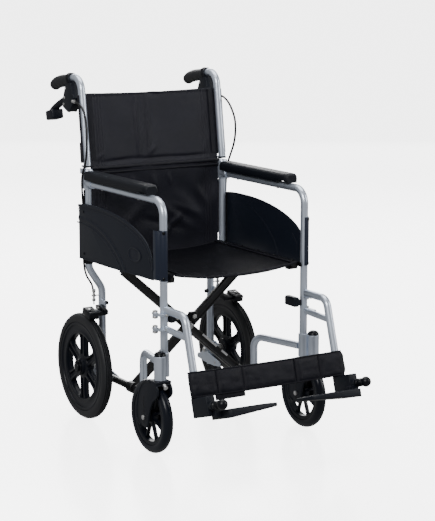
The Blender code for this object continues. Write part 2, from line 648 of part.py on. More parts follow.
def make_footplate(side, s):
    """Tapering plate inboard of the heel block, with the lug that turns on its pin."""
    centre = Vector((s * POST_X, 0, 0)) + FOOT_AXIS
    bm = bmesh.new()
    bmesh.ops.create_cube(bm, size=1.0)
    for corner in bm.verts:
        at_hinge, on_top, at_front = corner.co.x < 0, corner.co.z > 0, corner.co.y < 0
        height = (-0.015 if at_hinge else -0.016) if on_top else (-0.037 if at_hinge else -0.025)
        across = POST_X - (PLATE_START if at_hinge else PLATE_END)
        corner.co = (s * across, -PLATE_FRONT if at_front else -PLATE_BACK, height)
    bmesh.ops.recalc_face_normals(bm, faces=bm.faces)
    bm.transform(Matrix.Translation(FOOT_AXIS) @ PLATE_TURN)
    plate = from_bmesh("plate", bm)
    start, end = HEEL_HALF + 0.0006, HEEL_HALF + 0.0150
    middle = centre - Vector((s * 0.0135, 0, 0)) + HANGER_AHEAD * (start + end) / 2 + HANGER_DOWN * 0.0185
    half = Vector((0.0135, (end - start) / 2 - 0.0001, 0.0130))
    lugs = [rod(centre + HANGER_AHEAD * start, centre + HANGER_AHEAD * end, 0.0125),
            block(middle - half, middle + half, PLATE_TURN)]
    combine(plate, lugs, "UNION")
    bore = rod(centre, centre + HANGER_AHEAD * 0.10, 0.0053, 12)
    return finish(combine(plate, [bore], "DIFFERENCE"), side + "_footplate", BLACK_PLASTIC)


RELEASE_PIN = (0.2040, FRONT_Y)


def make_release_lever(side, s):
    """Latch lever of the swing-away footrest, inside the front post."""
    outline = [(s * x, FRONT_Y + y) for x, y in (
        (0.2095, -0.008), (0.2095, 0.030), (0.2070, 0.048), (0.1980, 0.050), (0.1965, -0.006))]
    return finish(sheet(outline, "Z", 0.357, 0.374), side + "_release_lever", BLACK_PLASTIC)


# Middle -----------------------------------------------------------------------------
def make_cross_arm(name, s, y, pin):
    """One arm of the scissor: pivot sleeve, box section and the seat rail it carries.

    The arm starts at the lower rail of side -s and carries the seat rail of side s.
    """
    low = Vector((-s * LOW_X, y, RAIL_Z))
    centre = Vector((0, y, CENTRE_Z))
    along = (centre - low).normalized()
    length = (s * SEAT_X - low.x) / along.x
    lean = math.atan2(along.z, abs(along.x))
    bm = bmesh.new()
    bmesh.ops.create_cube(bm, size=1.0)
    bm.transform(Matrix.Diagonal((length - 0.004, 0.016, 0.024, 1.0)))
    bm.transform(Matrix.Translation(low + along * length / 2) @ Matrix.Rotation(-s * lean, 4, "Y"))
    arm = from_bmesh("arm", bm)
    gusset = block((s * (SEAT_X - 0.014), y - 0.012, 0.444), (s * (SEAT_X + 0.006), y + 0.012, 0.472))
    sleeve = rod(low - Vector((0, 0.014, 0)), low + Vector((0, 0.014, 0)), 0.0160, 20)
    rail = rod((s * SEAT_X, FRONT_Y - 0.012, SEAT_Z), (s * SEAT_X, AXLE_Y - 0.030, SEAT_Z), TUBE_R, 18)
    combine(arm, [sleeve, gusset, rail], "UNION")
    if pin:
        combine(arm, [rod((0, ARM_A_Y - 0.013, CENTRE_Z), (0, ARM_B_Y + 0.013, CENTRE_Z), 0.0055)],
                "UNION")
    cuts = [rod(low - Vector((0, 0.04, 0)), low + Vector((0, 0.04, 0)), BORE_R, 20)]
    if not pin:
        cuts.append(rod(centre - Vector((0, 0.04, 0)), centre + Vector((0, 0.04, 0)), 0.0058))
    return finish(combine(arm, cuts, "DIFFERENCE"), name, BLACK_PAINT)


def sagging_sheet(name, half, top, sag, thick, low_y, high_y):
    """Sling across the chair that hangs a little lower in the middle."""
    steps = 10
    upper = [(half * (2 * i / steps - 1), top - sag * (1 - (2 * i / steps - 1) ** 2))
             for i in range(steps + 1)]
    outline = upper + [(x, z - thick) for x, z in upper[::-1]]
    curve = sheet([(x, z) for x, z in outline], "Z", -abs(high_y - low_y) / 2, abs(high_y - low_y) / 2)
    curve.data.transform(Matrix.Translation((0, (low_y + high_y) / 2, 0))
                         @ Matrix.Rotation(math.pi / 2, 4, "X"))
    return finish(curve, name, NYLON)


def make_back_slings():
    """Lower sling between the rear tubes, upper sling leaning with the back tubes."""
    half_thick = 0.002
    lower = block((-0.2070, AXLE_Y - half_thick, 0.500), (0.2070, AXLE_Y + half_thick, FOLD_Z - 0.002))
    lean = (BACK_CORNER.y - AXLE_Y) / (BACK_CORNER.z - FOLD_Z)
    bm = bmesh.new()
    bmesh.ops.create_cube(bm, size=1.0)
    for corner in bm.verts:
        z = 0.928 if corner.co.z > 0 else FOLD_Z + 0.001
        corner.co = (corner.co.x * 2 * (POST_X - TUBE_R - 0.0006),
                     AXLE_Y + (z - FOLD_Z) * lean + corner.co.y * 2 * half_thick, z)
    upper = from_bmesh("upper", bm)
    return finish(lower, "back_sling_lower", NYLON), finish(upper, "back_sling_upper", NYLON)


def make_calf_strap():
    """Padded strap across the front of the hanger tubes."""
    centre = HANGER_TOP + HANGER_DOWN * 0.1765 + HANGER_AHEAD * (TUBE_R + 0.0045)
    half = Vector((0.236, 0.0040, 0.0320))
    return finish(block(centre - half, centre + half, PLATE_TURN), "calf_strap", NYLON)


# Assembly ---------------------------------------------------------------------------
def make_side(side, s, frame_parent):
    """Every piece of one side, hung from the empties on its joints."""
    frame = [make(side, s) for make in (
        make_front_post, make_rear_tube, make_rear_post, make_j_tube, make_lower_rail,
        make_caster_housing, make_axle_plate, make_rear_axle, make_arm_pad, make_skirt_guard,
        make_rail_cradle, make_brake_cable)]
    if frame_parent:
        hang(frame_parent, frame)
    x = s * POST_X
    back = pivot(side + "_back_fold", (x, FOLD_Y, FOLD_Z), frame_parent)
    hang(back, [make_back_tube(side, s), make_push_grip(side, s), make_lever_mount(side, s)])
    hang(pivot(side + "_lever_pin", (x, LEVER_PIN.y, LEVER_PIN.z), back),
         [make_brake_lever(side, s)])
    hang(pivot(side + "_lock_pin", (x, *LOCK_PIN), back), [make_lock_lever(side, s)])
    hang(pivot(side + "_brake_pin", (s * WHEEL_X, BRAKE_PIN_Y, BRAKE_PIN_Z), frame_parent),
         [make_brake_shoe(side, s)])
    hang(pivot(side + "_wheel_spin", (s * WHEEL_X, AXLE_Y, REAR_WHEEL_R), frame_parent),
         make_rear_wheel(side, s))
    swivel = pivot(side + "_swivel", (s * STEM_X, STEM_Y, 0.24), frame_parent)
    fork, wheel, tyre = make_caster(side, s)
    hang(swivel, [fork])
    hang(pivot(side + "_caster_spin", (s * STEM_X, CASTER_Y, CASTER_R), swivel), [wheel, tyre])
    swing = pivot(side + "_hanger_pin", (s * PIN_X, PIN_Y, LUG_LEVELS[0]), frame_parent)
    hang(swing, [make_hanger(side, s), make_heel_block(side, s)])
    hang(pivot(side + "_plate_hinge", Vector((x, 0, 0)) + FOOT_AXIS, swing),
         [make_footplate(side, s)])
    hang(pivot(side + "_release_pin", (s * RELEASE_PIN[0], RELEASE_PIN[1], 0.365), frame_parent),
         [make_release_lever(side, s)])


def main():
    arm_a_pivot = pivot("brace_fold", (-LOW_X, ARM_A_Y, RAIL_Z))
    arm_b_pivot = pivot("brace_centre", (0, ARM_B_Y, CENTRE_Z), arm_a_pivot)
    left_frame = pivot("left_frame_hinge", (LOW_X, ARM_B_Y, RAIL_Z), arm_b_pivot)
    hang(arm_a_pivot, [make_cross_arm("cross_arm_front", 1, ARM_A_Y, True),
                       sagging_sheet("seat_sling", 0.206, 0.4898, 0.014, 0.004,
                                     FRONT_Y - 0.010, AXLE_Y - 0.032)])
    hang(arm_b_pivot, [make_cross_arm("cross_arm_rear", -1, ARM_B_Y, False)])
    make_back_slings()
    make_calf_strap()
    for side, s in SIDES:
        make_side(side, s, left_frame if side == "left" else None)


main()
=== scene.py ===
"""Looks of a folding attendant wheelchair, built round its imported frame.

Metres, +Z up. The front faces -Y and the occupant's left is +X. Each operator makes one
group of pieces; main calls them in order.
"""
import math

import bmesh
import bpy
from bpy.props import FloatProperty, FloatVectorProperty, IntProperty
from bpy.types import Operator, Panel, PropertyGroup
from mathutils import Matrix, Vector, noise


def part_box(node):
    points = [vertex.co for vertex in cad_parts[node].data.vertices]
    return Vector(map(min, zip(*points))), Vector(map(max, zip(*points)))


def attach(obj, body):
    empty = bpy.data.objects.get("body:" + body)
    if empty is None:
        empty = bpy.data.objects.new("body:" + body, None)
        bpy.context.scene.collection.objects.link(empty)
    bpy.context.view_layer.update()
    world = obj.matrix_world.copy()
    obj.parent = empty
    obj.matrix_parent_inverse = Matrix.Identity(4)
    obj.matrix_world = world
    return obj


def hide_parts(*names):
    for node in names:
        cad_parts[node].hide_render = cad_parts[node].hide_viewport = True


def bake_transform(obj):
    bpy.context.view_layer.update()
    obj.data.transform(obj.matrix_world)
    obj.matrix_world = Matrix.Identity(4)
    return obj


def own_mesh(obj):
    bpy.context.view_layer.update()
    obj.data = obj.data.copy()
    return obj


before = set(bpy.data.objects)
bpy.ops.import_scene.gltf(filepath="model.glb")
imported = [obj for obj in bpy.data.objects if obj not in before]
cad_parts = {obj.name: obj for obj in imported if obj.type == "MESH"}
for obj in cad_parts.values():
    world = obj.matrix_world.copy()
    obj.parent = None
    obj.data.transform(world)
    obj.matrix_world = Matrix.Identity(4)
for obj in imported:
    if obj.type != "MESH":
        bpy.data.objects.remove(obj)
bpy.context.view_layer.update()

bl_info = {
    "name": "Folding Wheelchair",
    "version": (1, 0, 0),
    "blender": (4, 5, 0),
    "location": "3D View > Sidebar > Wheelchair",
    "description": "Builds the tubes, wheels, slings and trim of a folding wheelchair",
    "category": "Object",
}

SIDES = (("right", -1), ("left", 1))
CAD_LOW, CAD_HIGH = (Vector(corner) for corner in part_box("left_rear_tyre"))
AXLE_Y = (CAD_LOW.y + CAD_HIGH.y) / 2
REAR_R = (CAD_HIGH.z - CAD_LOW.z) / 2
FRONT_Y = AXLE_Y - 0.433     # front post
STEM_Y = FRONT_Y - 0.017     # caster stem
CASTER_Y = STEM_Y + 0.046
CASTER_R = 0.100
J_Y = AXLE_Y - 0.243
POST_X = 0.222
LOW_X = 0.181
STEM_X = 0.244
WHEEL_X = 0.240
PIN_X = 0.241
PIN_Y = FRONT_Y + 0.013
SEAT_X = 0.196
SEAT_Z = 0.472
ARM_Z = 0.680
FOLD_Z = 0.7215
FOLD_Y = AXLE_Y + 0.030
RAIL_Z = 0.121
CENTRE_Z = 0.279
ARM_A_Y = AXLE_Y - 0.180
ARM_B_Y = AXLE_Y - 0.158
GAP = 0.0003                 # play between parts that turn
PANEL_HALF = 0.2092          # half the width of the back slings
SHARP = math.radians(32)
CLOTH_SHARP = math.radians(70)


# Settings ---------------------------------------------------------------------------
class FrameSettings(PropertyGroup):
    tube_radius: FloatProperty(
        name="Tube radius", description="Radius of the frame tubes",
        default=0.0105, min=0.008, max=0.012, unit="LENGTH")
    tube_sides: IntProperty(
        name="Tube sides", description="Faces round a tube", default=28, min=12, max=64)
    silver: FloatVectorProperty(
        name="Silver", description="Colour of the tubes", subtype="COLOR", size=3,
        default=(0.64, 0.70, 0.80), min=0, max=1)
    black: FloatVectorProperty(
        name="Black paint", description="Colour of the cross brace", subtype="COLOR", size=3,
        default=(0.0035, 0.0035, 0.0040), min=0, max=1)
    plastic: FloatVectorProperty(
        name="Plastic", description="Colour of the moulded parts", subtype="COLOR", size=3,
        default=(0.0044, 0.0060, 0.0108), min=0, max=1)


class WheelSettings(PropertyGroup):
    spokes: IntProperty(
        name="Spokes", description="Spokes of a rear wheel", default=6, min=3, max=12)
    caster_spokes: IntProperty(
        name="Caster spokes", description="Spokes of a caster wheel", default=8, min=3, max=12)
    tread_blocks: IntProperty(
        name="Tread blocks", description="Blocks round a rear tyre", default=120, min=40, max=240)
    rubber: FloatVectorProperty(
        name="Rubber", description="Colour of the tyres", subtype="COLOR", size=3,
        default=(0.0100, 0.0108, 0.0130), min=0, max=1)


class SoftSettings(PropertyGroup):
    nylon: FloatVectorProperty(
        name="Nylon", description="Colour of the slings", subtype="COLOR", size=3,
        default=(0.0070, 0.0074, 0.0135), min=0, max=1)
    thread: FloatProperty(
        name="Thread", description="Width of one thread of the weave",
        default=0.0011, min=0.0004, max=0.004, unit="LENGTH")
    seat_sag: FloatProperty(
        name="Seat sag", description="How far the middle of the seat hangs",
        default=0.020, min=0.0, max=0.04, unit="LENGTH")
    wrinkle: FloatProperty(
        name="Wrinkles", description="Height of the creases in the back",
        default=0.0050, min=0.0, max=0.01, unit="LENGTH")


class StageSettings(PropertyGroup):
    lens: FloatProperty(
        name="Lens", description="Focal length of the camera", default=116.86, subtype="DISTANCE_CAMERA")
    floor: FloatVectorProperty(
        name="Floor", description="Colour of the floor", subtype="COLOR", size=3,
        default=(0.92, 0.92, 0.92), min=0, max=1)
    glow: FloatProperty(
        name="Floor glow", description="Light given off by the floor", default=4.2)
    light: FloatProperty(
        name="Key light", description="Power of the main light", default=108.0, subtype="POWER")


def settings(name):
    return getattr(bpy.context.scene, "chair_" + name)


# Shapes -----------------------------------------------------------------------------
def fillet(points, radius, steps=9):
    """Polyline with its inner corners replaced by arcs."""
    points = [Vector(p) for p in points]
    path = [points[0]]
    for before, corner, after in zip(points, points[1:], points[2:]):
        back, ahead = (before - corner).normalized(), (after - corner).normalized()
        half = back.angle(ahead) / 2
        centre = corner + (back + ahead).normalized() * radius / math.sin(half)
        first = corner + back * radius / math.tan(half) - centre
        last = corner + ahead * radius / math.tan(half) - centre
        sweep = first.angle(last)
        for i in range(steps + 1):
            t = i / steps
            turn = first * math.sin((1 - t) * sweep) + last * math.sin(t * sweep)
            path.append(centre + turn / math.sin(sweep))
    path.append(points[-1])
    return path


def smooth_path(points, steps=6):
    """Curve through the points, as a list of closer points."""
    points = [Vector(p) for p in points]
    ends = [2 * points[0] - points[1]] + points + [2 * points[-1] - points[-2]]
    path = []
    for a, b, c, d in zip(ends, ends[1:], ends[2:], ends[3:]):
        for i in range(steps):
            t = i / steps
            path.append(0.5 * (2 * b + (c - a) * t + (2 * a - 5 * b + 4 * c - d) * t ** 2
                               + (3 * b - a - 3 * c + d) * t ** 3))
    return path + [points[-1]]


def sweep(bm, path, radius, sides=None, flat=1.0, across=None):
    """Round or oval bar along a path, with closed ends. A list of radii shapes it."""
    path = [Vector(p) for p in path]
    sides = sides or settings("frame").tube_sides
    radii = radius if isinstance(radius, (list, tuple)) else [radius] * len(path)
    heading = (path[1] - path[0]).normalized()
    across = Vector(across or (1, 0, 0))
    across = (across - heading * across.dot(heading)).normalized()
    turn = Matrix((across, heading.cross(across), heading)).transposed().to_4x4()
    place = Matrix.Translation(path[0]) @ turn @ Matrix.Diagonal((1, flat, 1, 1))
    verts = bmesh.ops.create_circle(bm, segments=sides, radius=radii[0], matrix=place)["verts"]
    edges = start = list(dict.fromkeys(e for v in verts for e in v.link_edges))
    for i in range(1, len(path)):
        ahead = path[min(i + 1, len(path) - 1)] - path[i]
        now = ((path[i] - path[i - 1]).normalized() + ahead.normalized()).normalized()
        grown = bmesh.ops.extrude_edge_only(bm, edges=edges)["geom"]
        verts = [g for g in grown if isinstance(g, bmesh.types.BMVert)]
        ring = set(verts)
        edges = [g for g in grown if isinstance(g, bmesh.types.BMEdge) and set(g.verts) <= ring]
        turn = heading.rotation_difference(now).to_matrix().to_4x4()
        grow = Matrix.Scale(radii[i] / radii[i - 1], 4)
        bmesh.ops.transform(bm, verts=verts, matrix=Matrix.Translation(path[i]) @ turn @ grow
                            @ Matrix.Translation(-path[i - 1]))
        heading = now
    for rim in (start, edges):
        bmesh.ops.holes_fill(bm, edges=rim, sides=0)


def rod(bm, start, end, radius, sides=24, bevel=0.0006):
    """Straight bar with slightly rounded ends."""
    start, end = Vector(start), Vector(end)
    along = (end - start).normalized() * bevel
    sweep(bm, [start, start + along, end - along, end],
          [radius - bevel, radius, radius, radius - bevel], sides)


def lathe(bm, profile, centre, axis, steps=40, closed=False):
    """Turned shape from radius and height points."""
    turn = Vector(axis).to_track_quat("Z", "Y").to_matrix().to_4x4()
    place = Matrix.Translation(centre) @ turn
    verts = [bm.verts.new(place @ Vector((max(r, 0.0), 0, z))) for r, z in profile]
    edges = [bm.edges.new(pair) for pair in zip(verts, verts[1:])]
    if closed:
        edges.append(bm.edges.new((verts[-1], verts[0])))
    before = set(bm.verts) - set(verts)
    bmesh.ops.spin(bm, geom=verts + edges, cent=centre, axis=Vector(axis).normalized(),
                   angle=math.tau, steps=steps, use_merge=True)
    fresh = [v for v in bm.verts if v not in before]
    bmesh.ops.remove_doubles(bm, verts=fresh, dist=0.00001)


def bevel_sharp(bm, verts, width, segments=3, limit=SHARP):
    """Round the sharp edges between the given vertices."""
    verts = set(verts)
    edges = [e for e in bm.edges if set(e.verts) <= verts and len(e.link_faces) == 2
             and e.calc_face_angle(0) > limit]
    bmesh.ops.bevel(bm, geom=edges, offset=width, offset_type="OFFSET", affect="EDGES",
                    segments=segments, profile=0.5, material=-1, clamp_overlap=True)


def block(bm, low, high, turn=None, bevel=0.001, segments=3, shape=None):
    """Box between two corners, turned about its middle; shape moves its corners first."""
    low, high = Vector(low), Vector(high)
    size = high - low
    before = set(bm.verts)
    verts = bmesh.ops.create_cube(bm, size=1.0)["verts"]
    if shape:
        for v in verts:
            v.co = shape(v.co)
    grow = Matrix.Diagonal((abs(size.x), abs(size.y), abs(size.z), 1.0))
    place = Matrix.Translation((low + high) / 2) @ (turn or Matrix.Identity(4)) @ grow
    bmesh.ops.transform(bm, verts=verts, matrix=place)
    if bevel:
        bevel_sharp(bm, verts, bevel, segments)
    return [v for v in bm.verts if v not in before]


def plate(bm, outline, shift, bevel=0.0008, segments=2):
    """Flat outline of points, made thick by a shift, with rounded edges."""
    before = set(bm.verts)
    verts = [bm.verts.new(Vector(p)) for p in outline]
    face = bm.faces.new(verts)
    grown = bmesh.ops.extrude_face_region(bm, geom=[face], use_keep_orig=True)["geom"]
    top = [g for g in grown if isinstance(g, bmesh.types.BMVert)]
    bmesh.ops.translate(bm, verts=top, vec=Vector(shift))
    fresh = [v for v in bm.verts if v not in before]
    bmesh.ops.recalc_face_normals(bm, faces=list({f for v in fresh for f in v.link_faces}))
    if bevel:
        bevel_sharp(bm, fresh, bevel, segments)
    return [v for v in bm.verts if v not in before]


def screw_head(bm, place, outward, radius=0.0035, height=0.0018):
    """Domed head with a round socket, standing on a surface."""
    lathe(bm, [(radius, -0.0004), (radius, height * 0.4), (radius * 0.75, height * 0.85),
               (radius * 0.42, height), (radius * 0.42, height * 0.35), (0, height * 0.35)],
          place, outward, 20)


def nut(bm, place, outward, radius=0.006, height=0.004):
    """Hexagon nut with a rounded crown."""
    outward = Vector(outward).normalized()
    turn = outward.to_track_quat("Z", "Y").to_matrix().to_4x4()
    before = set(bm.verts)
    bmesh.ops.create_cone(bm, cap_ends=True, segments=6, radius1=radius, radius2=radius, depth=height,
                          matrix=Matrix.Translation(Vector(place) + outward * height / 2) @ turn)
    bevel_sharp(bm, [v for v in bm.verts if v not in before], 0.0006, 2)
    lathe(bm, [(radius * 0.55, 0), (radius * 0.5, height * 1.25), (0, height * 1.3)], place, outward, 16)


def circle(centre, radius, start, end, steps):
    """Points of an arc in a plane, between two angles in degrees."""
    angles = [math.radians(start + (end - start) * i / steps) for i in range(steps + 1)]
    return [(centre[0] + radius * math.cos(a), centre[1] + radius * math.sin(a)) for a in angles]


def side_outline(points, x):
    """Outline of y and z pairs, standing at one x."""
    return [(x, y, z) for y, z in points]


def piece(bm, name, look, body, replaces=(), sharp=SHARP):
    """Mesh object of a finished piece, riding on its body unless that is None."""
    bmesh.ops.recalc_face_normals(bm, faces=bm.faces)
    mesh = bpy.data.meshes.new(name)
    bm.to_mesh(mesh)
    bm.free()
    item = bpy.data.objects.new(name, mesh)
    bpy.context.scene.collection.objects.link(item)
    mesh.materials.append(look)
    mesh.shade_smooth()
    mesh.set_sharp_from_angle(angle=sharp)
    if body:
        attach(item, body)
    if replaces:
        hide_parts(*replaces)
    return item


# Materials --------------------------------------------------------------------------
class Socket:
    """A shader socket that takes Python's operators."""

    def __init__(self, tree, socket):
        self.tree = tree
        self.socket = socket

    def maths(self, operation, first, second=None):
        node = self.tree.nodes.new("ShaderNodeMath")
        node.operation = operation
        for entry, value in zip(node.inputs, (first, second)):
            if isinstance(value, Socket):
                self.tree.links.new(value.socket, entry)
            elif value is not None:
                entry.default_value = value
        return Socket(self.tree, node.outputs[0])

    def __add__(self, other):
        return self.maths("ADD", self, other)

    def __radd__(self, other):
        return self.maths("ADD", other, self)

    def __sub__(self, other):
        return self.maths("SUBTRACT", self, other)

    def __rsub__(self, other):
        return self.maths("SUBTRACT", other, self)

    def __mul__(self, other):
        return self.maths("MULTIPLY", self, other)

    def __rmul__(self, other):
        return self.maths("MULTIPLY", other, self)

class Look:
    """A material being made, with one method that adds any node."""

    def __init__(self, name, colour, roughness, metallic=0.0, **fixed):
        self.material = bpy.data.materials.new(name)
        self.material.use_nodes = True
        self.tree = self.material.node_tree
        self.shader = self.tree.nodes["Principled BSDF"]
        self.set("Base Color", (*colour, 1.0))
        self.set("Roughness", roughness)
        self.set("Metallic", metallic)
        for key, value in fixed.items():
            self.set(key.replace("_", " "), value)
        self.material.diffuse_color = (*colour, 1.0)

    def set(self, name, value):
        entry = self.shader.inputs[name]
        if isinstance(value, Socket):
            self.tree.links.new(value.socket, entry)
        else:
            entry.default_value = value

    def add(self, kind, settings=(), output=0, **inputs):
        node = self.tree.nodes.new("ShaderNode" + kind)
        for key, value in dict(settings).items():
            if key == "stops":
                ramp = node.color_ramp.elements
                while len(ramp) < len(value):
                    ramp.new(0.5)
                for stop, (place, shade) in zip(ramp, value):
                    stop.position = place
                    stop.color = (shade, shade, shade, 1.0) if isinstance(shade, float) else shade
            else:
                setattr(node, key, value)
        for key, value in inputs.items():
            entry = node.inputs[int(key[1:])] if key[0] == "_" else node.inputs[key.replace("_", " ")]
            if isinstance(value, Socket):
                self.tree.links.new(value.socket, entry)
            else:
                entry.default_value = value
        return Socket(self.tree, node.outputs[output])

    def place(self):
        """Object coordinates."""
        return self.add("TexCoord", output=3)

    def speckle(self, scale, detail=2.0, vector=None):
        return self.add("TexNoise", {"noise_dimensions": "3D"}, Vector=vector or self.place(),
                        Scale=scale, Detail=detail)

    def blend(self, amount, first, second):
        """Colour between two colours."""
        return self.add("Mix", {"data_type": "RGBA"}, output=2, _0=amount,
                        _6=(*first, 1.0) if not isinstance(first, Socket) else first,
                        _7=(*second, 1.0) if not isinstance(second, Socket) else second)

    def ramp(self, value, low, high, start=0.0, end=1.0):
        return self.add("MapRange", {"clamp": True}, Value=value, From_Min=low, From_Max=high,
                        To_Min=start, To_Max=end)

    def bump(self, height, strength, distance):
        self.set("Normal", self.add("Bump", Height=height, Strength=strength, Distance=distance))


def shade(colour, amount):
    return tuple(c * amount for c in colour)


def silver_look(name="silver_tube", bright=1.0):
    """Satin silver powder coat with fine metal flake and faint handling marks."""
    colour = shade(settings("frame").silver, bright)
    look = Look(name, colour, 0.34, 0.78, Coat_Weight=0.25, Coat_Roughness=0.18)
    flake = look.speckle(2600.0, 1.0)
    cloud = look.speckle(14.0, 4.0)
    rub = look.ramp(look.speckle(55.0, 6.0), 0.60, 0.72)
    look.set("Base Color", look.blend(look.ramp(cloud * 0.6 + flake * 0.4, 0.35, 0.65),
                                      shade(colour, 0.93), shade(colour, 1.05)))
    look.set("Roughness", 0.30 + cloud * 0.06 + rub * 0.07)
    look.bump(look.speckle(900.0, 2.0), 0.05, 0.0003)
    return look.material


def steel_look(name="zinc_steel"):
    """Zinc-plated fittings: bright, with uneven dull patches."""
    look = Look(name, (0.62, 0.62, 0.61), 0.28, 1.0)
    patch = look.speckle(160.0, 4.0)
    look.set("Base Color", look.blend(look.ramp(patch, 0.35, 0.7), (0.70, 0.70, 0.69), (0.50, 0.50, 0.50)))
    look.set("Roughness", 0.20 + patch * 0.25)
    look.bump(look.speckle(700.0, 3.0), 0.08, 0.0003)
    return look.material


def plastic_look(name, colour, roughness=0.48, grain=0.18, scale=1500.0):
    """Moulded plastic: pebbled grain, slightly paler where it is rubbed."""
    look = Look(name, colour, roughness, Specular_IOR_Level=0.24)
    cells = look.add("TexVoronoi", {"feature": "SMOOTH_F1"}, Vector=look.place(), Scale=scale, Smoothness=0.6)
    cloud = look.speckle(9.0, 3.0)
    rub = look.ramp(look.speckle(38.0, 5.0), 0.58, 0.78)
    look.set("Base Color", look.blend(cloud * 0.5 + rub * 0.35, shade(colour, 0.9), shade(colour, 1.25)))
    look.set("Roughness", roughness - 0.05 + cloud * 0.10)
    look.bump(cells + cloud * 0.2, grain, 0.0003)
    return look.material


def rubber_look(name, colour, roughness=0.72):
    """Rubber with a dry bloom and fine moulding texture."""
    look = Look(name, colour, roughness, Specular_IOR_Level=0.40)
    bloom = look.ramp(look.speckle(24.0, 5.0), 0.40, 0.75)
    look.set("Base Color", look.blend(bloom * 0.6, colour, shade(colour, 1.5)))
    look.set("Roughness", roughness - 0.08 + bloom * 0.16)
    look.bump(look.speckle(1100.0, 3.0), 0.16, 0.0004)
    return look.material


def paint_look(name="black_paint"):
    """Satin black powder coat with a light orange peel."""
    colour = settings("frame").black
    look = Look(name, colour, 0.36, 0.0, Specular_IOR_Level=0.55)
    cloud = look.speckle(30.0, 4.0)
    look.set("Base Color", look.blend(cloud, shade(colour, 0.8), shade(colour, 1.5)))
    look.set("Roughness", 0.30 + cloud * 0.14)
    look.bump(look.speckle(420.0, 2.0), 0.10, 0.0004)
    return look.material


def nylon_look(name="black_nylon", lift=1.0, shine=0.30):
    """Plain-weave coated nylon, woven in the piece's own UV map, in metres."""
    soft = settings("soft")
    colour = shade(soft.nylon, lift)
    look = Look(name, colour, 0.62, 0.0, Specular_IOR_Level=shine)
    parts = look.add("UVMap", {"uv_map": "weave"})
    u = look.add("SeparateXYZ", output=0, Vector=parts)
    v = look.add("SeparateXYZ", output=1, Vector=parts)
    pitch = math.pi / soft.thread
    over = u.maths("SINE", u * pitch)
    under = u.maths("SINE", v * pitch)
    weave = over * over * (0.5 + 0.5 * u.maths("SIGN", over * under)) + under * under * (
        0.5 - 0.5 * u.maths("SIGN", over * under))
    cloud = look.speckle(16.0, 5.0)
    slub = look.speckle(220.0, 3.0)
    tone = look.ramp(cloud * 0.55 + slub * 0.25 + weave * 0.2, 0.30, 0.75)
    look.set("Base Color", look.blend(tone, shade(colour, 0.78), shade(colour, 1.28)))
    look.set("Roughness", 0.44 + cloud * 0.14)
    look.bump(weave + slub * 0.4, 0.30, 0.0004)
    return look.material


def webbing_look(name="webbing"):
    """Narrow binding tape with a herringbone run."""
    colour = shade(settings("soft").nylon, 0.62)
    look = Look(name, colour, 0.66, 0.0, Specular_IOR_Level=0.20)
    run = look.add("TexWave", {"wave_type": "BANDS", "bands_direction": "DIAGONAL"}, Vector=look.place(),
                   Scale=260.0, Distortion=0.6)
    look.set("Base Color", look.blend(run, shade(colour, 0.7), shade(colour, 1.3)))
    look.bump(run, 0.25, 0.0004)
    return look.material


LOOKS = {}


def look(name):
    """The finished materials, made once."""
    if not LOOKS:
        plastic = settings("frame").plastic
        LOOKS.update(
            silver=silver_look(), steel=steel_look(), paint=paint_look(),
            plastic=plastic_look("moulded_plastic", plastic),
            guard=plastic_look("guard_plastic", shade(plastic, 1.45), 0.46, 0.14, 1100.0),
            clip=plastic_look("grey_clip", shade(plastic, 3.2), 0.38, 0.08),
            cap=plastic_look("gloss_cap", shade(plastic, 0.45), 0.28, 0.05),
            pad=plastic_look("pad_skin", shade(plastic, 0.75), 0.52, 0.26, 700.0),
            wheel=plastic_look("wheel_plastic", shade(plastic, 0.8), 0.32, 0.08),
            label=plastic_look("blank_label", (0.42, 0.42, 0.43), 0.35, 0.04),
            tyre=rubber_look("tyre_rubber", settings("wheel").rubber, 0.56),
            glossy_tyre=plastic_look("caster_tyre", shade(plastic, 1.1), 0.26, 0.03),
            grip=rubber_look("grip_rubber", shade(settings("wheel").rubber, 0.9), 0.60),
            jacket=rubber_look("cable_jacket", (0.006, 0.006, 0.007), 0.42),
            # The seat's nylon is the back nylon at 0.30 of its colour: a darker copy that paints shade on the
            # seat.
            nylon=nylon_look(), seat=nylon_look("seat_nylon_painted_shade", 0.30, 0.09),
            strap=nylon_look("strap_nylon", 0.70, 0.22),
            tape=webbing_look(),
            brace_silver=silver_look("bracket_silver", 0.92))
    return LOOKS[name]


# Frame ------------------------------------------------------------------------------
def side_piece(bm, side, name, finish, body, node=None, sharp=SHARP):
    """Piece of one side, from names without the side; node is the one that it stands for."""
    return piece(bm, side_name(side, name), look(finish), side_name(side, body),
                 [side_name(side, node)] if node else (), sharp)


LUG_LEVELS = (0.383, 0.343)
LUG_THICK = 0.005


def side_name(side, name):
    return side + "_" + name


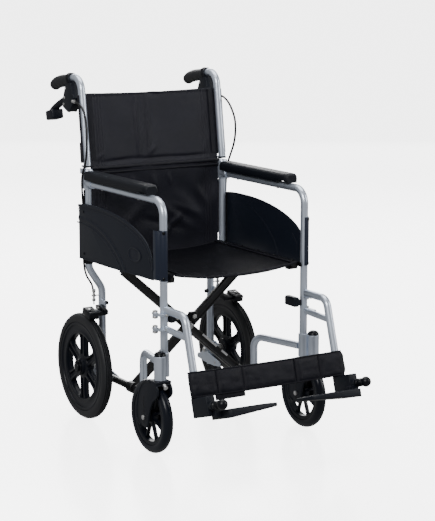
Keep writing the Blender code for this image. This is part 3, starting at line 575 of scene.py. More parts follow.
def make_front_post(side, s):
    """Bent post and armrest tube, with the hinge lugs of the footrest."""
    bm = bmesh.new()
    x, radius = s * POST_X, settings("frame").tube_radius
    path = fillet([(x, FRONT_Y, 0.2125), (x, FRONT_Y, ARM_Z), (x, AXLE_Y - 0.016, ARM_Z)], 0.040, 14)
    sweep(bm, path, radius)
    for level in LUG_LEVELS:
        top = level - LUG_THICK / 2 - GAP
        low = top - LUG_THICK
        rod(bm, (s * PIN_X, PIN_Y, low), (s * PIN_X, PIN_Y, top), 0.0075)
        block(bm, (x, PIN_Y - 0.008, low + 0.0004), (s * PIN_X, PIN_Y + 0.006, top - 0.0004), bevel=0.0008)
    side_piece(bm, side, "post_tube", "silver", "frame", "front_post")
    bm = bmesh.new()
    for level in LUG_LEVELS:
        low = level - LUG_THICK * 1.5 - GAP
        rod(bm, (s * PIN_X, PIN_Y, low - 0.006), (s * PIN_X, PIN_Y, level + 0.0085), 0.0040, 18)
        nut(bm, (s * PIN_X, PIN_Y, low - 0.0002), (0, 0, -1), 0.0078, 0.0050)
        nut(bm, (s * PIN_X, PIN_Y, level + 0.0030), (0, 0, 1), 0.0074, 0.0044)
    side_piece(bm, side, "footrest_pins", "steel", "frame")


def make_rear_tube(side, s):
    """Upper rear tube, armrest collar, folding hinge lugs and the black joint sleeves."""
    bm = bmesh.new()
    x, radius = s * POST_X, settings("frame").tube_radius
    sweep(bm, [(x, AXLE_Y, 0.4648), (x, AXLE_Y, 0.60), (x, AXLE_Y, FOLD_Z - 0.002)], radius)
    lathe(bm, [(0.0100, 0.664), (0.0138, 0.664), (0.0144, 0.6655), (0.0144, 0.7175), (0.0136, 0.7192),
               (0.0100, 0.7192)], (x, AXLE_Y, 0), (0, 0, 1), 36)
    block(bm, (x - 0.0125, AXLE_Y - 0.0150, 0.668), (x + 0.0125, AXLE_Y + 0.0060, 0.7165), bevel=0.003)
    lathe(bm, [(0, 0.000), (0.0128, 0.000), (0.0138, 0.001), (0.0138, 0.0295), (0.0128, 0.0305),
               (0.0106, 0.0305)], (x, AXLE_Y - 0.005, ARM_Z), (0, -1, 0), 32)
    for offset in (-0.0068, 0.0068):
        low, high = x + offset - 0.0022, x + offset + 0.0022
        block(bm, (low, AXLE_Y + 0.006, FOLD_Z - 0.018), (high, FOLD_Y, FOLD_Z - 0.0018), bevel=0.0006)
        rod(bm, (low, FOLD_Y, FOLD_Z), (high, FOLD_Y, FOLD_Z), 0.0062)
    side_piece(bm, side, "rear_upright", "silver", "frame", "rear_tube")
    bm = bmesh.new()
    rod(bm, (x - 0.0118, FOLD_Y, FOLD_Z), (x + 0.0118, FOLD_Y, FOLD_Z), 0.0034, 16)
    screw_head(bm, (x + s * 0.0122, AXLE_Y - 0.004, 0.7060), (s, 0, 0), 0.0042, 0.0016)
    screw_head(bm, (x, AXLE_Y - 0.0150, 0.7060), (0, -1, 0), 0.0036, 0.0014)
    side_piece(bm, side, "collar_screws", "cap", "frame")
    bm = bmesh.new()
    lathe(bm, [(0.0100, 0.449), (0.0118, 0.449), (0.0124, 0.4500), (0.0124, 0.4628), (0.0118, 0.4636),
               (0.0100, 0.4636)], (x, AXLE_Y, 0), (0, 0, 1), 32)
    side_piece(bm, side, "joint_sleeve", "cap", "frame")


BRAKE_PIN_Y = AXLE_Y - 0.026
BRAKE_PIN_Z = 0.322


def make_rear_post(side, s):
    """Lower rear post bent inboard, its brake plate and pin."""
    bm = bmesh.new()
    path = fillet([(s * POST_X, AXLE_Y, 0.4645), (s * POST_X, AXLE_Y, 0.436),
                   (s * LOW_X, AXLE_Y, 0.374), (s * LOW_X, AXLE_Y, 0.106)], 0.045, 12)
    sweep(bm, path, settings("frame").tube_radius)
    inner, outer = s * (LOW_X + 0.004), s * (LOW_X + 0.009)
    plate(bm, side_outline([
        (BRAKE_PIN_Y - 0.010, BRAKE_PIN_Z - 0.004), (BRAKE_PIN_Y - 0.004, BRAKE_PIN_Z - 0.012),
        (AXLE_Y + 0.002, BRAKE_PIN_Z - 0.012), (AXLE_Y + 0.002, BRAKE_PIN_Z + 0.024),
        (BRAKE_PIN_Y - 0.002, BRAKE_PIN_Z + 0.018), (BRAKE_PIN_Y - 0.010, BRAKE_PIN_Z + 0.008)], inner),
          (outer - inner, 0, 0))
    side_piece(bm, side, "lower_upright", "silver", "frame", "rear_post")
    bm = bmesh.new()
    rod(bm, (inner, BRAKE_PIN_Y, BRAKE_PIN_Z), (s * (LOW_X + 0.027), BRAKE_PIN_Y, BRAKE_PIN_Z), 0.0038, 16)
    nut(bm, (s * (LOW_X - 0.0102), AXLE_Y, 0.329), (-s, 0, 0), 0.0062, 0.0045)
    lathe(bm, [(0.0058, 0), (0.0058, 0.0030), (0.0046, 0.0046), (0, 0.0050)],
          (s * (LOW_X - 0.0140), AXLE_Y, 0.329), (-s, 0, 0), 20)
    side_piece(bm, side, "brake_bolt", "cap", "frame")


def make_lower_tubes(side, s):
    """J tube from the caster housing, lower rail and the housing itself with its cap."""
    ahead = Vector((s * (LOW_X - POST_X), J_Y - FRONT_Y, 0)).normalized()
    start = Vector((s * POST_X, FRONT_Y, 0.240)) + ahead * 0.0146
    bm = bmesh.new()
    sweep(bm, fillet([start, (s * LOW_X, J_Y, 0.238), (s * LOW_X, J_Y, 0.106)], 0.035, 14),
          settings("frame").tube_radius)
    side_piece(bm, side, "bent_leg", "silver", "frame", "j_tube")
    bm = bmesh.new()
    rod(bm, (s * LOW_X, J_Y + 0.0108, RAIL_Z), (s * LOW_X, AXLE_Y - 0.0108, RAIL_Z),
        settings("frame").tube_radius, 28, 0.0004)
    side_piece(bm, side, "bottom_rail", "paint", "frame", "lower_rail")
    bm = bmesh.new()
    for y in (J_Y, AXLE_Y):
        lathe(bm, [(0, 0.0996), (0.0085, 0.0996), (0.0103, 0.1010), (0.0105, 0.1060), (0, 0.1060)],
              (s * LOW_X, y, 0), (0, 0, 1), 24)
    side_piece(bm, side, "leg_plugs", "cap", "frame")
    bm = bmesh.new()
    lathe(bm, [(0.0086, 0.2088), (0.0158, 0.2088), (0.0165, 0.2098), (0.0165, 0.2730), (0.0158, 0.2740),
               (0.0086, 0.2740)], (s * STEM_X, STEM_Y, 0), (0, 0, 1), 44, closed=True)
    lathe(bm, [(0.0109, 0.2128), (0.0131, 0.2128), (0.0137, 0.2136), (0.0137, 0.2762), (0.0131, 0.2770),
               (0.0109, 0.2770)], (s * POST_X, FRONT_Y, 0), (0, 0, 1), 36, closed=True)
    block(bm, (s * (POST_X + 0.0112), FRONT_Y - 0.021, 0.2150),
          (s * (STEM_X - 0.011), FRONT_Y + 0.0035, 0.2700), bevel=0.0008)
    side_piece(bm, side, "stem_housing", "silver", "frame", "caster_housing")
    bm = bmesh.new()
    lathe(bm, [(0.0160, 0.2738), (0.0160, 0.2752), (0.0152, 0.2790), (0.0128, 0.2826), (0.0085, 0.2850),
               (0.0040, 0.2860), (0, 0.2862)], (s * STEM_X, STEM_Y, 0), (0, 0, 1), 36)
    side_piece(bm, side, "stem_cap", "cap", "frame")


PLATE_IN = LOW_X + 0.0108
PLATE_OUT = PLATE_IN + 0.004


def make_axle_plate(side, s):
    """Axle bracket with its bolts, the tipping stub and the axle with its nut."""
    bm = bmesh.new()
    outline = [(AXLE_Y + y, z) for y, z in (
        (-0.070, 0.106), (-0.066, 0.104), (0.030, 0.104), (0.060, 0.122), (0.062, 0.134), (0.058, 0.147),
        (0.022, 0.172), (0.014, 0.1745), (-0.012, 0.1745), (-0.021, 0.170), (-0.034, 0.138),
        (-0.066, 0.138), (-0.070, 0.134))]
    plate(bm, side_outline(outline, s * PLATE_IN), (s * (PLATE_OUT - PLATE_IN), 0, 0))
    arm = [(AXLE_Y + y, z) for y, z in (
        (0.050, 0.117), (0.053, 0.124), (0.049, 0.131), (0.029, 0.136), (0.016, 0.152), (0.006, 0.158),
        (-0.004, 0.154), (-0.010, 0.142), (-0.041, 0.134), (-0.070, 0.128), (-0.080, 0.121), (-0.074, 0.113),
        (-0.041, 0.109), (0.014, 0.112))]
    plate(bm, side_outline(arm, s * (LOW_X - 0.0108)), (-s * 0.0040, 0, 0), 0.0010, 3)
    side_piece(bm, side, "axle_bracket", "brace_silver", "frame", "axle_plate")
    bm = bmesh.new()
    lathe(bm, [(0, PLATE_IN + 0.0002), (0.0053, PLATE_IN + 0.0002), (0.0053, PLATE_OUT + GAP),
               (0.0094, PLATE_OUT + GAP), (0.0100, PLATE_OUT + 0.0009), (0.0100, 0.2208), (0.0094, 0.2213),
               (0.0053, 0.2213), (0.0053, 0.2587), (0.0080, 0.2587), (0.0085, 0.2594), (0.0085, 0.2630),
               (0.0072, 0.2648), (0.0040, 0.2655), (0, 0.2655)], (0, AXLE_Y, REAR_R), (s, 0, 0), 32)
    nut(bm, (s * (LOW_X - 0.0146), AXLE_Y + 0.006, 0.149), (-s, 0, 0), 0.0076, 0.0058)
    screw_head(bm, (s * (LOW_X - 0.0146), AXLE_Y - 0.050, 0.120), (-s, 0, 0), 0.0040, 0.0012)
    nut(bm, (s * PLATE_OUT, AXLE_Y - 0.055, 0.121), (s, 0, 0), 0.0062, 0.0042)
    nut(bm, (s * PLATE_OUT, AXLE_Y + 0.040, 0.140), (s, 0, 0), 0.0052, 0.0036)
    side_piece(bm, side, "axle_bolt", "steel", "frame", "rear_axle")


GUARD_OUT = 0.2418
GUARD_IN = 0.2388


def guard_top(step):
    """Height of the guard's upper edge, from its rear corner (0) to its front (1)."""
    points = ((0.020, 0.619), (-0.040, 0.6245), (-0.130, 0.624), (-0.210, 0.617), (-0.280, 0.604),
              (-0.340, 0.585), (-0.380, 0.562), (-0.402, 0.532), (-0.408, 0.500))
    path = smooth_path([(0, AXLE_Y + y, z) for y, z in points], 5)
    return path[round(step * (len(path) - 1))]


def make_guard(side, s):
    """Side panel with its raised rim, inner arc, round emboss and the clip round the post."""
    rim = [guard_top(i / 40) for i in range(41)]
    bm = bmesh.new()
    outline = [(AXLE_Y + 0.020, 0.463)] + [(p.y, p.z) for p in rim]
    outline += [(AXLE_Y - 0.412, 0.469), (AXLE_Y - 0.160, 0.464)]
    plate(bm, side_outline(outline, s * GUARD_IN), (s * (GUARD_OUT - GUARD_IN), 0, 0), 0.0009, 3)
    face = s * (GUARD_OUT + 0.0002)
    edge = [Vector((face, p.y, p.z)) for p in rim]
    sweep(bm, [p - Vector((0, 0, 0.0045)) for p in edge], 0.0042, 16, 0.42, (0, 0, 1))
    rim_two = [Vector((face, p.y * 0.985 + AXLE_Y * 0.015 + 0.003, p.z - 0.0145)) for p in rim[:38]]
    sweep(bm, rim_two, 0.0016, 12, 0.6, (0, 0, 1))
    arc = smooth_path([(face, AXLE_Y + y, z) for y, z in (
        (0.019, 0.580), (-0.040, 0.577), (-0.105, 0.564), (-0.163, 0.541), (-0.213, 0.509),
        (-0.246, 0.479), (-0.259, 0.4665))], 8)
    sweep(bm, arc, 0.0060, 16, 0.30, (0, 0, 1))
    lower_arc = [point + Vector((0, 0.010, -0.0135)) for point in arc[:-4]]
    sweep(bm, lower_arc, 0.0022, 12, 0.5, (0, 0, 1))
    bottom = [Vector((face, AXLE_Y + y, z)) for y, z in ((0.018, 0.4655), (-0.160, 0.4665), (-0.398, 0.4712))]
    sweep(bm, bottom, 0.0020, 12, 0.5, (0, 0, 1))
    disc = Vector((s * GUARD_OUT, AXLE_Y - 0.311, 0.5235))
    kept = set(bm.verts)
    lathe(bm, [(0.0225, -0.0010), (0.0235, 0.0010), (0.0215, 0.0020), (0.0190, 0.0012), (0.0175, 0.0003),
               (0.0100, 0.0009), (0, 0.0012)], disc, (s, 0, 0), 40)
    oval = Matrix.Translation(disc) @ Matrix.Diagonal((1, 1.60, 0.85, 1)) @ Matrix.Translation(-disc)
    bmesh.ops.transform(bm, verts=[v for v in bm.verts if v not in kept], matrix=oval)
    inner = s * (GUARD_IN - 0.0002)
    for points in (((-0.120, 0.596), (-0.190, 0.566), (-0.250, 0.520), (-0.280, 0.478)),
                   ((-0.350, 0.545), (-0.372, 0.520), (-0.374, 0.492))):
        sweep(bm, smooth_path([(inner, AXLE_Y + y, z) for y, z in points], 8), 0.0017, 10, 0.6, (0, 0, 1))
    side_piece(bm, side, "side_panel", "guard", "frame", "skirt_guard")
    bm = bmesh.new()
    centre = (s * POST_X, FRONT_Y)
    ring = circle(centre, 0.0132, -118, 72, 20) + circle(centre, 0.0109, 72, -118, 20)
    if s < 0:
        ring = [(2 * centre[0] - x, y) for x, y in ring]
    plate(bm, [(x, y, 0.4705) for x, y in ring], (0, 0, 0.1340), 0.0006)
    wall = [(s * (POST_X + 0.0085), FRONT_Y + 0.0105), (s * 0.2388, FRONT_Y + 0.0105),
            (s * 0.2388, FRONT_Y + 0.0215), (s * 0.2418, FRONT_Y + 0.0215), (s * 0.2424, FRONT_Y + 0.0060),
            (s * (POST_X + 0.0128), FRONT_Y - 0.0030), (s * (POST_X + 0.0110), FRONT_Y)]
    plate(bm, [(x, y, 0.4720) for x, y in wall], (0, 0, 0.1310), 0.0008)
    side_piece(bm, side, "panel_clip", "clip", "frame")
    bm = bmesh.new()
    for z in (0.4765, 0.5985):
        screw_head(bm, (s * (POST_X + 0.0060), FRONT_Y - 0.0118, z), (s * 0.45, -0.89, 0), 0.0042, 0.0018)
    for y, z in ((-0.010, 0.480), (-0.010, 0.600)):
        screw_head(bm, (face, AXLE_Y + y, z), (s, 0, 0), 0.0040, 0.0014)
    side_piece(bm, side, "panel_screws", "cap", "frame")


def make_arm_pad(side, s):
    """Moulded armrest pad: crowned, round-ended, scooped below at the front."""
    bm = bmesh.new()
    x, half = s * POST_X, 0.0215
    front, back, low, high = AXLE_Y - 0.372, AXLE_Y - 0.0148, 0.6912, 0.7165
    made = bmesh.ops.create_cube(bm, size=1.0)["verts"]
    bmesh.ops.transform(bm, verts=made, matrix=Matrix.Translation((x, (front + back) / 2, (low + high) / 2))
                        @ Matrix.Diagonal((2 * half, back - front, high - low, 1)))
    long_edges = [e for e in bm.edges if abs(e.verts[0].co.y - e.verts[1].co.y) > 0.1]
    bmesh.ops.subdivide_edges(bm, edges=long_edges, cuts=56, use_grid_fill=True)
    cross = [e for e in bm.edges if abs(e.verts[0].co.x - e.verts[1].co.x) > 0.01]
    bmesh.ops.subdivide_edges(bm, edges=cross, cuts=9, use_grid_fill=True)
    tall = [e for e in bm.edges if abs(e.verts[0].co.z - e.verts[1].co.z) > 0.01]
    bmesh.ops.subdivide_edges(bm, edges=tall, cuts=6, use_grid_fill=True)
    for v in bm.verts:
        u = (v.co.x - x) / half
        t = (v.co.z - low) / (high - low)
        near = min(v.co.y - front, back - v.co.y)
        corner = 0.014 if v.co.y < (front + back) / 2 else 0.007
        if near < corner:
            step = 1 - near / corner
            v.co.x = x + (v.co.x - x) * (1 - 0.30 * step * step)
        edge = max(0.0, abs(u) - 0.62) / 0.38
        v.co.z -= (0.0075 * edge ** 2.2 + 0.004 * max(0.0, 1 - near / 0.012) ** 2) * t
        bulge = math.sin(math.pi * min(max(t, 0), 1))
        v.co.x += (v.co.x - x) * 0.045 * bulge
        if v.co.y - front < 0.050 and t < 0.5:
            v.co.z += 0.0075 * (1 - t * 2) * math.sin(math.pi * min(1, (v.co.y - front) / 0.050)) ** 0.8
    side_piece(bm, side, "arm_cushion", "pad", "frame", "arm_pad", sharp=math.radians(50))
    bm = bmesh.new()
    for y in (-0.090, -0.300):
        screw_head(bm, (x, AXLE_Y + y, ARM_Z - 0.0104), (0, 0, -1), 0.0040, 0.0016)
    side_piece(bm, side, "pad_screws", "steel", "frame")


def make_cradle(side, s):
    """Open plastic cradle that the seat rail drops into."""
    bm = bmesh.new()
    near, far = s * (POST_X - 0.0109), s * (SEAT_X - 0.0150)
    lip = circle((s * SEAT_X, SEAT_Z), 0.0110, 180, 360, 14)
    ends = (far, near) if s > 0 else (near, far)
    outline = [(ends[0], 0.4590), (ends[0], 0.470)] + lip[2:-2] + [(ends[1], 0.470), (ends[1], 0.4590)]
    plate(bm, [(x, FRONT_Y + 0.014, z) for x, z in outline], (0, 0.018, 0), 0.0007)
    side_piece(bm, side, "rail_rest", "cap", "frame", "rail_cradle")


# Wheels -----------------------------------------------------------------------------
def wheel_turn(s, centre, angle):
    return Matrix.Translation(centre) @ Matrix.Rotation(angle, 4, "X") @ Matrix.Scale(s, 4, (1, 0, 0))


def make_rear_wheel(side, s):
    """Solid tyre with a blocked tread, and a moulded six-spoke wheel."""
    centre = Vector((s * WHEEL_X, AXLE_Y, REAR_R))
    body = side_name(side, "rear_wheel")
    top = REAR_R
    bm = bmesh.new()
    profile = [(0.1285, -0.0120), (0.1285, -0.0146), (0.1325, -0.0155), (0.1400, -0.0155), (0.1450, -0.0142),
               (top - 0.0042, -0.0112), (top - 0.0022, -0.0082), (top - 0.0034, -0.0074), (top - 0.0034, -0.0066),
               (top - 0.0008, -0.0058), (top - 0.0003, -0.0030), (top - 0.0020, -0.0022), (top - 0.0020, -0.0014),
               (top, -0.0006)]
    profile += [(r, -z) for r, z in profile[::-1]]
    lathe(bm, profile, centre, (s, 0, 0), settings("wheel").tread_blocks, closed=True)
    crown = [f for f in bm.faces if abs(f.calc_center_median().x - centre.x) < 0.0092
             and (f.calc_center_median() - centre).length > top - 0.0060]
    cut = [f for f in crown if 0.0015 < abs(f.calc_center_median().x - centre.x)]
    bmesh.ops.inset_individual(bm, faces=cut, thickness=0.00055, depth=0.0)
    for f in cut:
        shift = (f.calc_center_median() - centre)
        shift.x = 0
        bmesh.ops.translate(bm, verts=list(f.verts), vec=-shift.normalized() * 0.0007)
    piece(bm, side_name(side, "tyre"), look("tyre"), body, [side_name(side, "rear_tyre")])
    bm = bmesh.new()
    face = [(0.1288, 0.0120), (0.1262, 0.0138), (0.1225, 0.0140), (0.1195, 0.0130), (0.1185, 0.0108),
            (0.1150, 0.0100), (0.1060, 0.0096), (0.1030, 0.0104), (0.1010, 0.0122), (0.0975, 0.0126),
            (0.0945, 0.0112), (0.0930, 0.0070)]
    lathe(bm, face + [(r, -z) for r, z in face[::-1]], centre, (s, 0, 0), 96, closed=True)
    face = [(0.0057, 0.0183), (0.0225, 0.0183), (0.0236, 0.0173), (0.0250, 0.0110), (0.0345, 0.0080),
            (0.0360, 0.0045)]
    lathe(bm, face + [(r, -z) for r, z in face[::-1]], centre, (s, 0, 0), 56, closed=True)
    count = settings("wheel").spokes
    for i in range(count):
        place = wheel_turn(s, centre, math.tau * i / count)
        for hand in (-1, 1):
            outline = [(0, 0.0050 * hand, 0.028), (0, 0.0150 * hand, 0.028), (0, 0.0118 * hand, 0.050),
                       (0, 0.0122 * hand, 0.080), (0, 0.0190 * hand, 0.0955), (0, 0.0070 * hand, 0.0960),
                       (0, 0.0066 * hand, 0.080), (0, 0.0062 * hand, 0.050)]
            made = plate(bm, [Vector(p) + Vector((-0.0085, 0, 0)) for p in outline], (0.0170, 0, 0), 0.0012, 2)
            bmesh.ops.transform(bm, verts=made, matrix=place)
        made = block(bm, (-0.0032, -0.0066, 0.026), (0.0032, 0.0066, 0.0960), bevel=0.0008)
        bmesh.ops.transform(bm, verts=made, matrix=place)
    piece(bm, side_name(side, "spoked_wheel"), look("wheel"), body, [side_name(side, "rear_wheel")])
    bm = bmesh.new()
    lathe(bm, [(0.0215, 0.0180), (0.0215, 0.0212), (0.0203, 0.0222), (0.0172, 0.0218), (0.0166, 0.0206),
               (0.0150, 0.0206), (0.0144, 0.0214), (0.0088, 0.0217), (0.0088, 0.0180)], centre, (s, 0, 0), 44,
          closed=True)
    lathe(bm, [(0.0088, 0.0206), (0.0128, 0.0206), (0.0132, 0.0212), (0.0132, 0.0266), (0.0124, 0.0278),
               (0.0080, 0.0286), (0, 0.0289), (0, 0.0268), (0.0088, 0.0262)], centre, (s, 0, 0), 36)
    piece(bm, side_name(side, "hub_cap"), look("cap"), body)


def make_caster(side, s):
    """Caster fork with its arched crown, small wheel and tyre."""
    centre = Vector((s * STEM_X, CASTER_Y, CASTER_R))
    fork, wheel = side_name(side, "caster_fork"), side_name(side, "caster_wheel")
    bm = bmesh.new()
    profile = [(0.0780, -0.0105), (0.0780, -0.0125), (0.0830, -0.0138), (0.0880, -0.0140), (0.0940, -0.0122),
               (0.0975, -0.0090), (0.0993, -0.0050), (0.1000, -0.0015)]
    profile += [(r, -z) for r, z in profile[::-1]]
    lathe(bm, profile, centre, (s, 0, 0), 96, closed=True)
    piece(bm, side_name(side, "small_tyre"), look("glossy_tyre"), wheel, [side_name(side, "caster_tyre")])
    bm = bmesh.new()
    lathe(bm, [(0.0779, -0.0105), (0.0779, 0.0105), (0.0760, 0.0118), (0.0700, 0.0114), (0.0672, 0.0090),
               (0.0680, 0.0030), (0.0680, -0.0030), (0.0672, -0.0090), (0.0700, -0.0114), (0.0760, -0.0118)],
          centre, (s, 0, 0), 72, closed=True)
    lathe(bm, [(0.0053, -0.0175), (0.0130, -0.0175), (0.0140, -0.0166), (0.0150, -0.0080), (0.0200, -0.0055),
               (0.0205, 0.0), (0.0200, 0.0055), (0.0150, 0.0080), (0.0140, 0.0166), (0.0130, 0.0175),
               (0.0053, 0.0175)], centre, (s, 0, 0), 44, closed=True)
    count = settings("wheel").caster_spokes
    for i in range(count):
        outline = [(-0.0052, -0.0038, 0.017), (-0.0052, 0.0038, 0.017), (-0.0052, 0.0030, 0.045),
                   (-0.0052, 0.0040, 0.0685), (-0.0052, -0.0040, 0.0685), (-0.0052, -0.0030, 0.045)]
        made = plate(bm, outline, (0.0104, 0, 0), 0.0011, 2)
        bmesh.ops.transform(bm, verts=made, matrix=wheel_turn(s, centre, math.tau * (i + 0.5) / count))
    piece(bm, side_name(side, "small_wheel"), look("wheel"), wheel, [side_name(side, "caster_wheel")])
    make_fork(side, s, centre, fork)


def make_fork(side, s, centre, fork):
    """Fork legs, the arched crown over the tyre, its stem and axle bolts."""
    bm = bmesh.new()
    crown = circle((STEM_Y, 0.1790), 0.0275, 190, 90, 6)
    crown += [(CASTER_Y - 0.030, 0.2062), (CASTER_Y - 0.008, 0.2000), (CASTER_Y + 0.010, 0.1890)]
    rear = [(CASTER_Y + 0.026, 0.1680), (CASTER_Y + 0.037, 0.140), (CASTER_Y + 0.041, 0.110)]
    foot = [(CASTER_Y + 0.037, 0.086), (CASTER_Y + 0.020, 0.0760), (CASTER_Y - 0.006, 0.0715),
            (CASTER_Y - 0.0150, 0.0745), (CASTER_Y - 0.0205, 0.088)]
    front = [(CASTER_Y - 0.0240, 0.108), (CASTER_Y - 0.032, 0.130), (STEM_Y, 0.152), (STEM_Y - 0.020, 0.165)]
    outline = crown + rear + foot + front
    for offset in (-1, 1):
        near = s * STEM_X + offset * 0.0182
        plate(bm, side_outline(outline, near), (offset * 0.0058, 0, 0), 0.0016, 3)
        edge = smooth_path([(near + offset * 0.0056, y, z) for y, z in
                            [(STEM_Y + 0.012, 0.2040)] + crown[-2:] + rear + foot[:2]], 6)
        sweep(bm, edge, 0.0030, 14, 0.55, (0, 0, 1))
    rim = circle((STEM_Y, 0.1790), 0.0285, 138, 90, 5)
    rim += [(CASTER_Y - 0.028, 0.2060), (CASTER_Y - 0.012, 0.1960)]
    inner = circle((STEM_Y, 0.1790), 0.0245, 138, 90, 5)
    inner += [(CASTER_Y - 0.030, 0.2020), (CASTER_Y - 0.014, 0.1925)]
    plate(bm, [(s * STEM_X - 0.0235, y, z) for y, z in rim + inner[::-1]], (0.0470, 0, 0), 0.0015, 3)
    block(bm, (s * STEM_X - 0.0235, STEM_Y - 0.020, 0.2015),
          (s * STEM_X + 0.0235, STEM_Y + 0.024, 0.2082), bevel=0.002)
    lathe(bm, [(0.0205, 0.2040), (0.0205, 0.2070), (0.0150, 0.2086), (0.0080, 0.2088), (0.0080, 0.2735),
               (0, 0.2735)], (s * STEM_X, STEM_Y, 0), (0, 0, 1), 36)
    piece(bm, side_name(side, "caster_crown"), look("plastic"), fork, [side_name(side, "caster_fork")])
    bm = bmesh.new()
    for offset in (-1, 1):
        face = s * STEM_X + offset * 0.0238
        nut(bm, (face, CASTER_Y, CASTER_R), (offset, 0, 0), 0.0072, 0.0052)
    rod(bm, centre - Vector((0.0255, 0, 0)), centre + Vector((0.0255, 0, 0)), 0.0048, 20)
    rod(bm, (s * STEM_X, STEM_Y - 0.0310, 0.1925), (s * STEM_X, STEM_Y - 0.020, 0.1985), 0.0064, 20)
    piece(bm, side_name(side, "caster_bolt"), look("steel"), fork)
    # Thin darker strips on the fork legs stand in for its slots: painted shade of the openings, which are not cut.
    bm = bmesh.new()
    for offset in (-1, 1):
        x = s * STEM_X + offset * 0.0241
        for low, high in ((0.112, 0.119), (0.124, 0.146), (0.151, 0.157), (0.082, 0.088)):
            block(bm, (x - 0.0003, CASTER_Y + 0.001, low), (x + 0.0003, CASTER_Y + 0.0055, high), bevel=0.0002)
    piece(bm, side_name(side, "fork_slot_shade"), look("cap"), fork)


# Back, handles and brakes -----------------------------------------------------------
BACK_CORNER = Vector((0, AXLE_Y + 0.0363, 0.983))
GRIP_TILT = math.radians(16.4)
GRIP_DIR = Vector((0, math.cos(GRIP_TILT), -math.sin(GRIP_TILT)))
GRIP_DOWN = Vector((0, -math.sin(GRIP_TILT), -math.cos(GRIP_TILT)))


def handle_point(s, along, below=0.0):
    """Point on the push handle's axis, measured from its corner."""
    return Vector((s * POST_X, 0, 0)) + BACK_CORNER + GRIP_DIR * along + GRIP_DOWN * below


LEVER_PIN = handle_point(1, 0.088, 0.052)


def make_back_tube(side, s):
    """Folding back tube bent into the handle, its hinge lug and the split ring at its foot."""
    bm = bmesh.new()
    x = s * POST_X
    foot = (x, AXLE_Y, FOLD_Z + 0.0008)
    sweep(bm, fillet([foot, handle_point(s, 0), handle_point(s, 0.108)], 0.040, 16),
          settings("frame").tube_radius)
    block(bm, (x - 0.0038, AXLE_Y + 0.006, FOLD_Z + GAP), (x + 0.0038, FOLD_Y, FOLD_Z + 0.0062), bevel=0.0006)
    rod(bm, (x - 0.0039, FOLD_Y, FOLD_Z), (x + 0.0039, FOLD_Y, FOLD_Z), 0.0064)
    side_piece(bm, side, "back_post", "silver", "back", "back_tube")
    bm = bmesh.new()
    lathe(bm, [(0.0100, 0.0014), (0.0114, 0.0014), (0.0120, 0.0020), (0.0120, 0.0052), (0.0114, 0.0058),
               (0.0100, 0.0058)], (x, AXLE_Y + 0.0004, FOLD_Z), (0, 0.138, 0.99), 32)
    screw_head(bm, (x + s * 0.0103, AXLE_Y + 0.005, FOLD_Z + 0.034), (s, 0, 0), 0.0032, 0.0022)
    side_piece(bm, side, "split_ring", "cap", "back")


def make_push_grip(side, s):
    """Rubber grip: flange, swelling body with finger scallops below and a drooping round end."""
    bm = bmesh.new()
    length, rings = 0.118, 60
    start = handle_point(s, 0.060)
    stations, radii = [], []
    for i in range(rings + 1):
        t = length * i / rings
        if t < 0.004:
            radius = 0.0178 + 0.0010 * math.sin(math.pi * t / 0.008)
        elif t < 0.009:
            radius = 0.0188 - 0.0030 * (t - 0.004) / 0.005
        else:
            radius = 0.0156 + 0.0022 * math.sin(math.pi * (t - 0.009) / (length - 0.009))
        tip = max(0.0, (t - (length - 0.016)) / 0.016)
        radii.append(max(radius * math.sqrt(max(1 - tip ** 2.4, 0)), 0.0006))
        rise = 0.0095 * math.sin(math.pi / 2 * min(1.0, t / 0.095)) ** 1.5
        droop = 0.0065 * max(0.0, (t - 0.085) / 0.033) ** 2
        stations.append(start + GRIP_DIR * t + GRIP_DOWN * (droop - rise))
    sweep(bm, stations, radii, 40)
    for v in bm.verts:
        t = (v.co - start).dot(GRIP_DIR)
        near = stations[min(rings, max(0, round(t / length * rings)))]
        off = v.co - near
        off -= GRIP_DIR * off.dot(GRIP_DIR)
        down = off.normalized().dot(GRIP_DOWN) if off.length > 0 else 0
        if 0.016 < t < 0.102 and down > 0:
            v.co -= GRIP_DOWN * 0.0022 * down ** 1.5 * (0.5 - 0.5 * math.cos(math.tau * (t - 0.016) / 0.0215))
        if 0.012 < t < 0.104 and down <= 0.1:
            v.co -= off.normalized() * 0.00045 * (math.sin(math.tau * t / 0.0042) > 0.3)
    side_piece(bm, side, "rubber_grip", "grip", "back", "push_grip", sharp=math.radians(60))


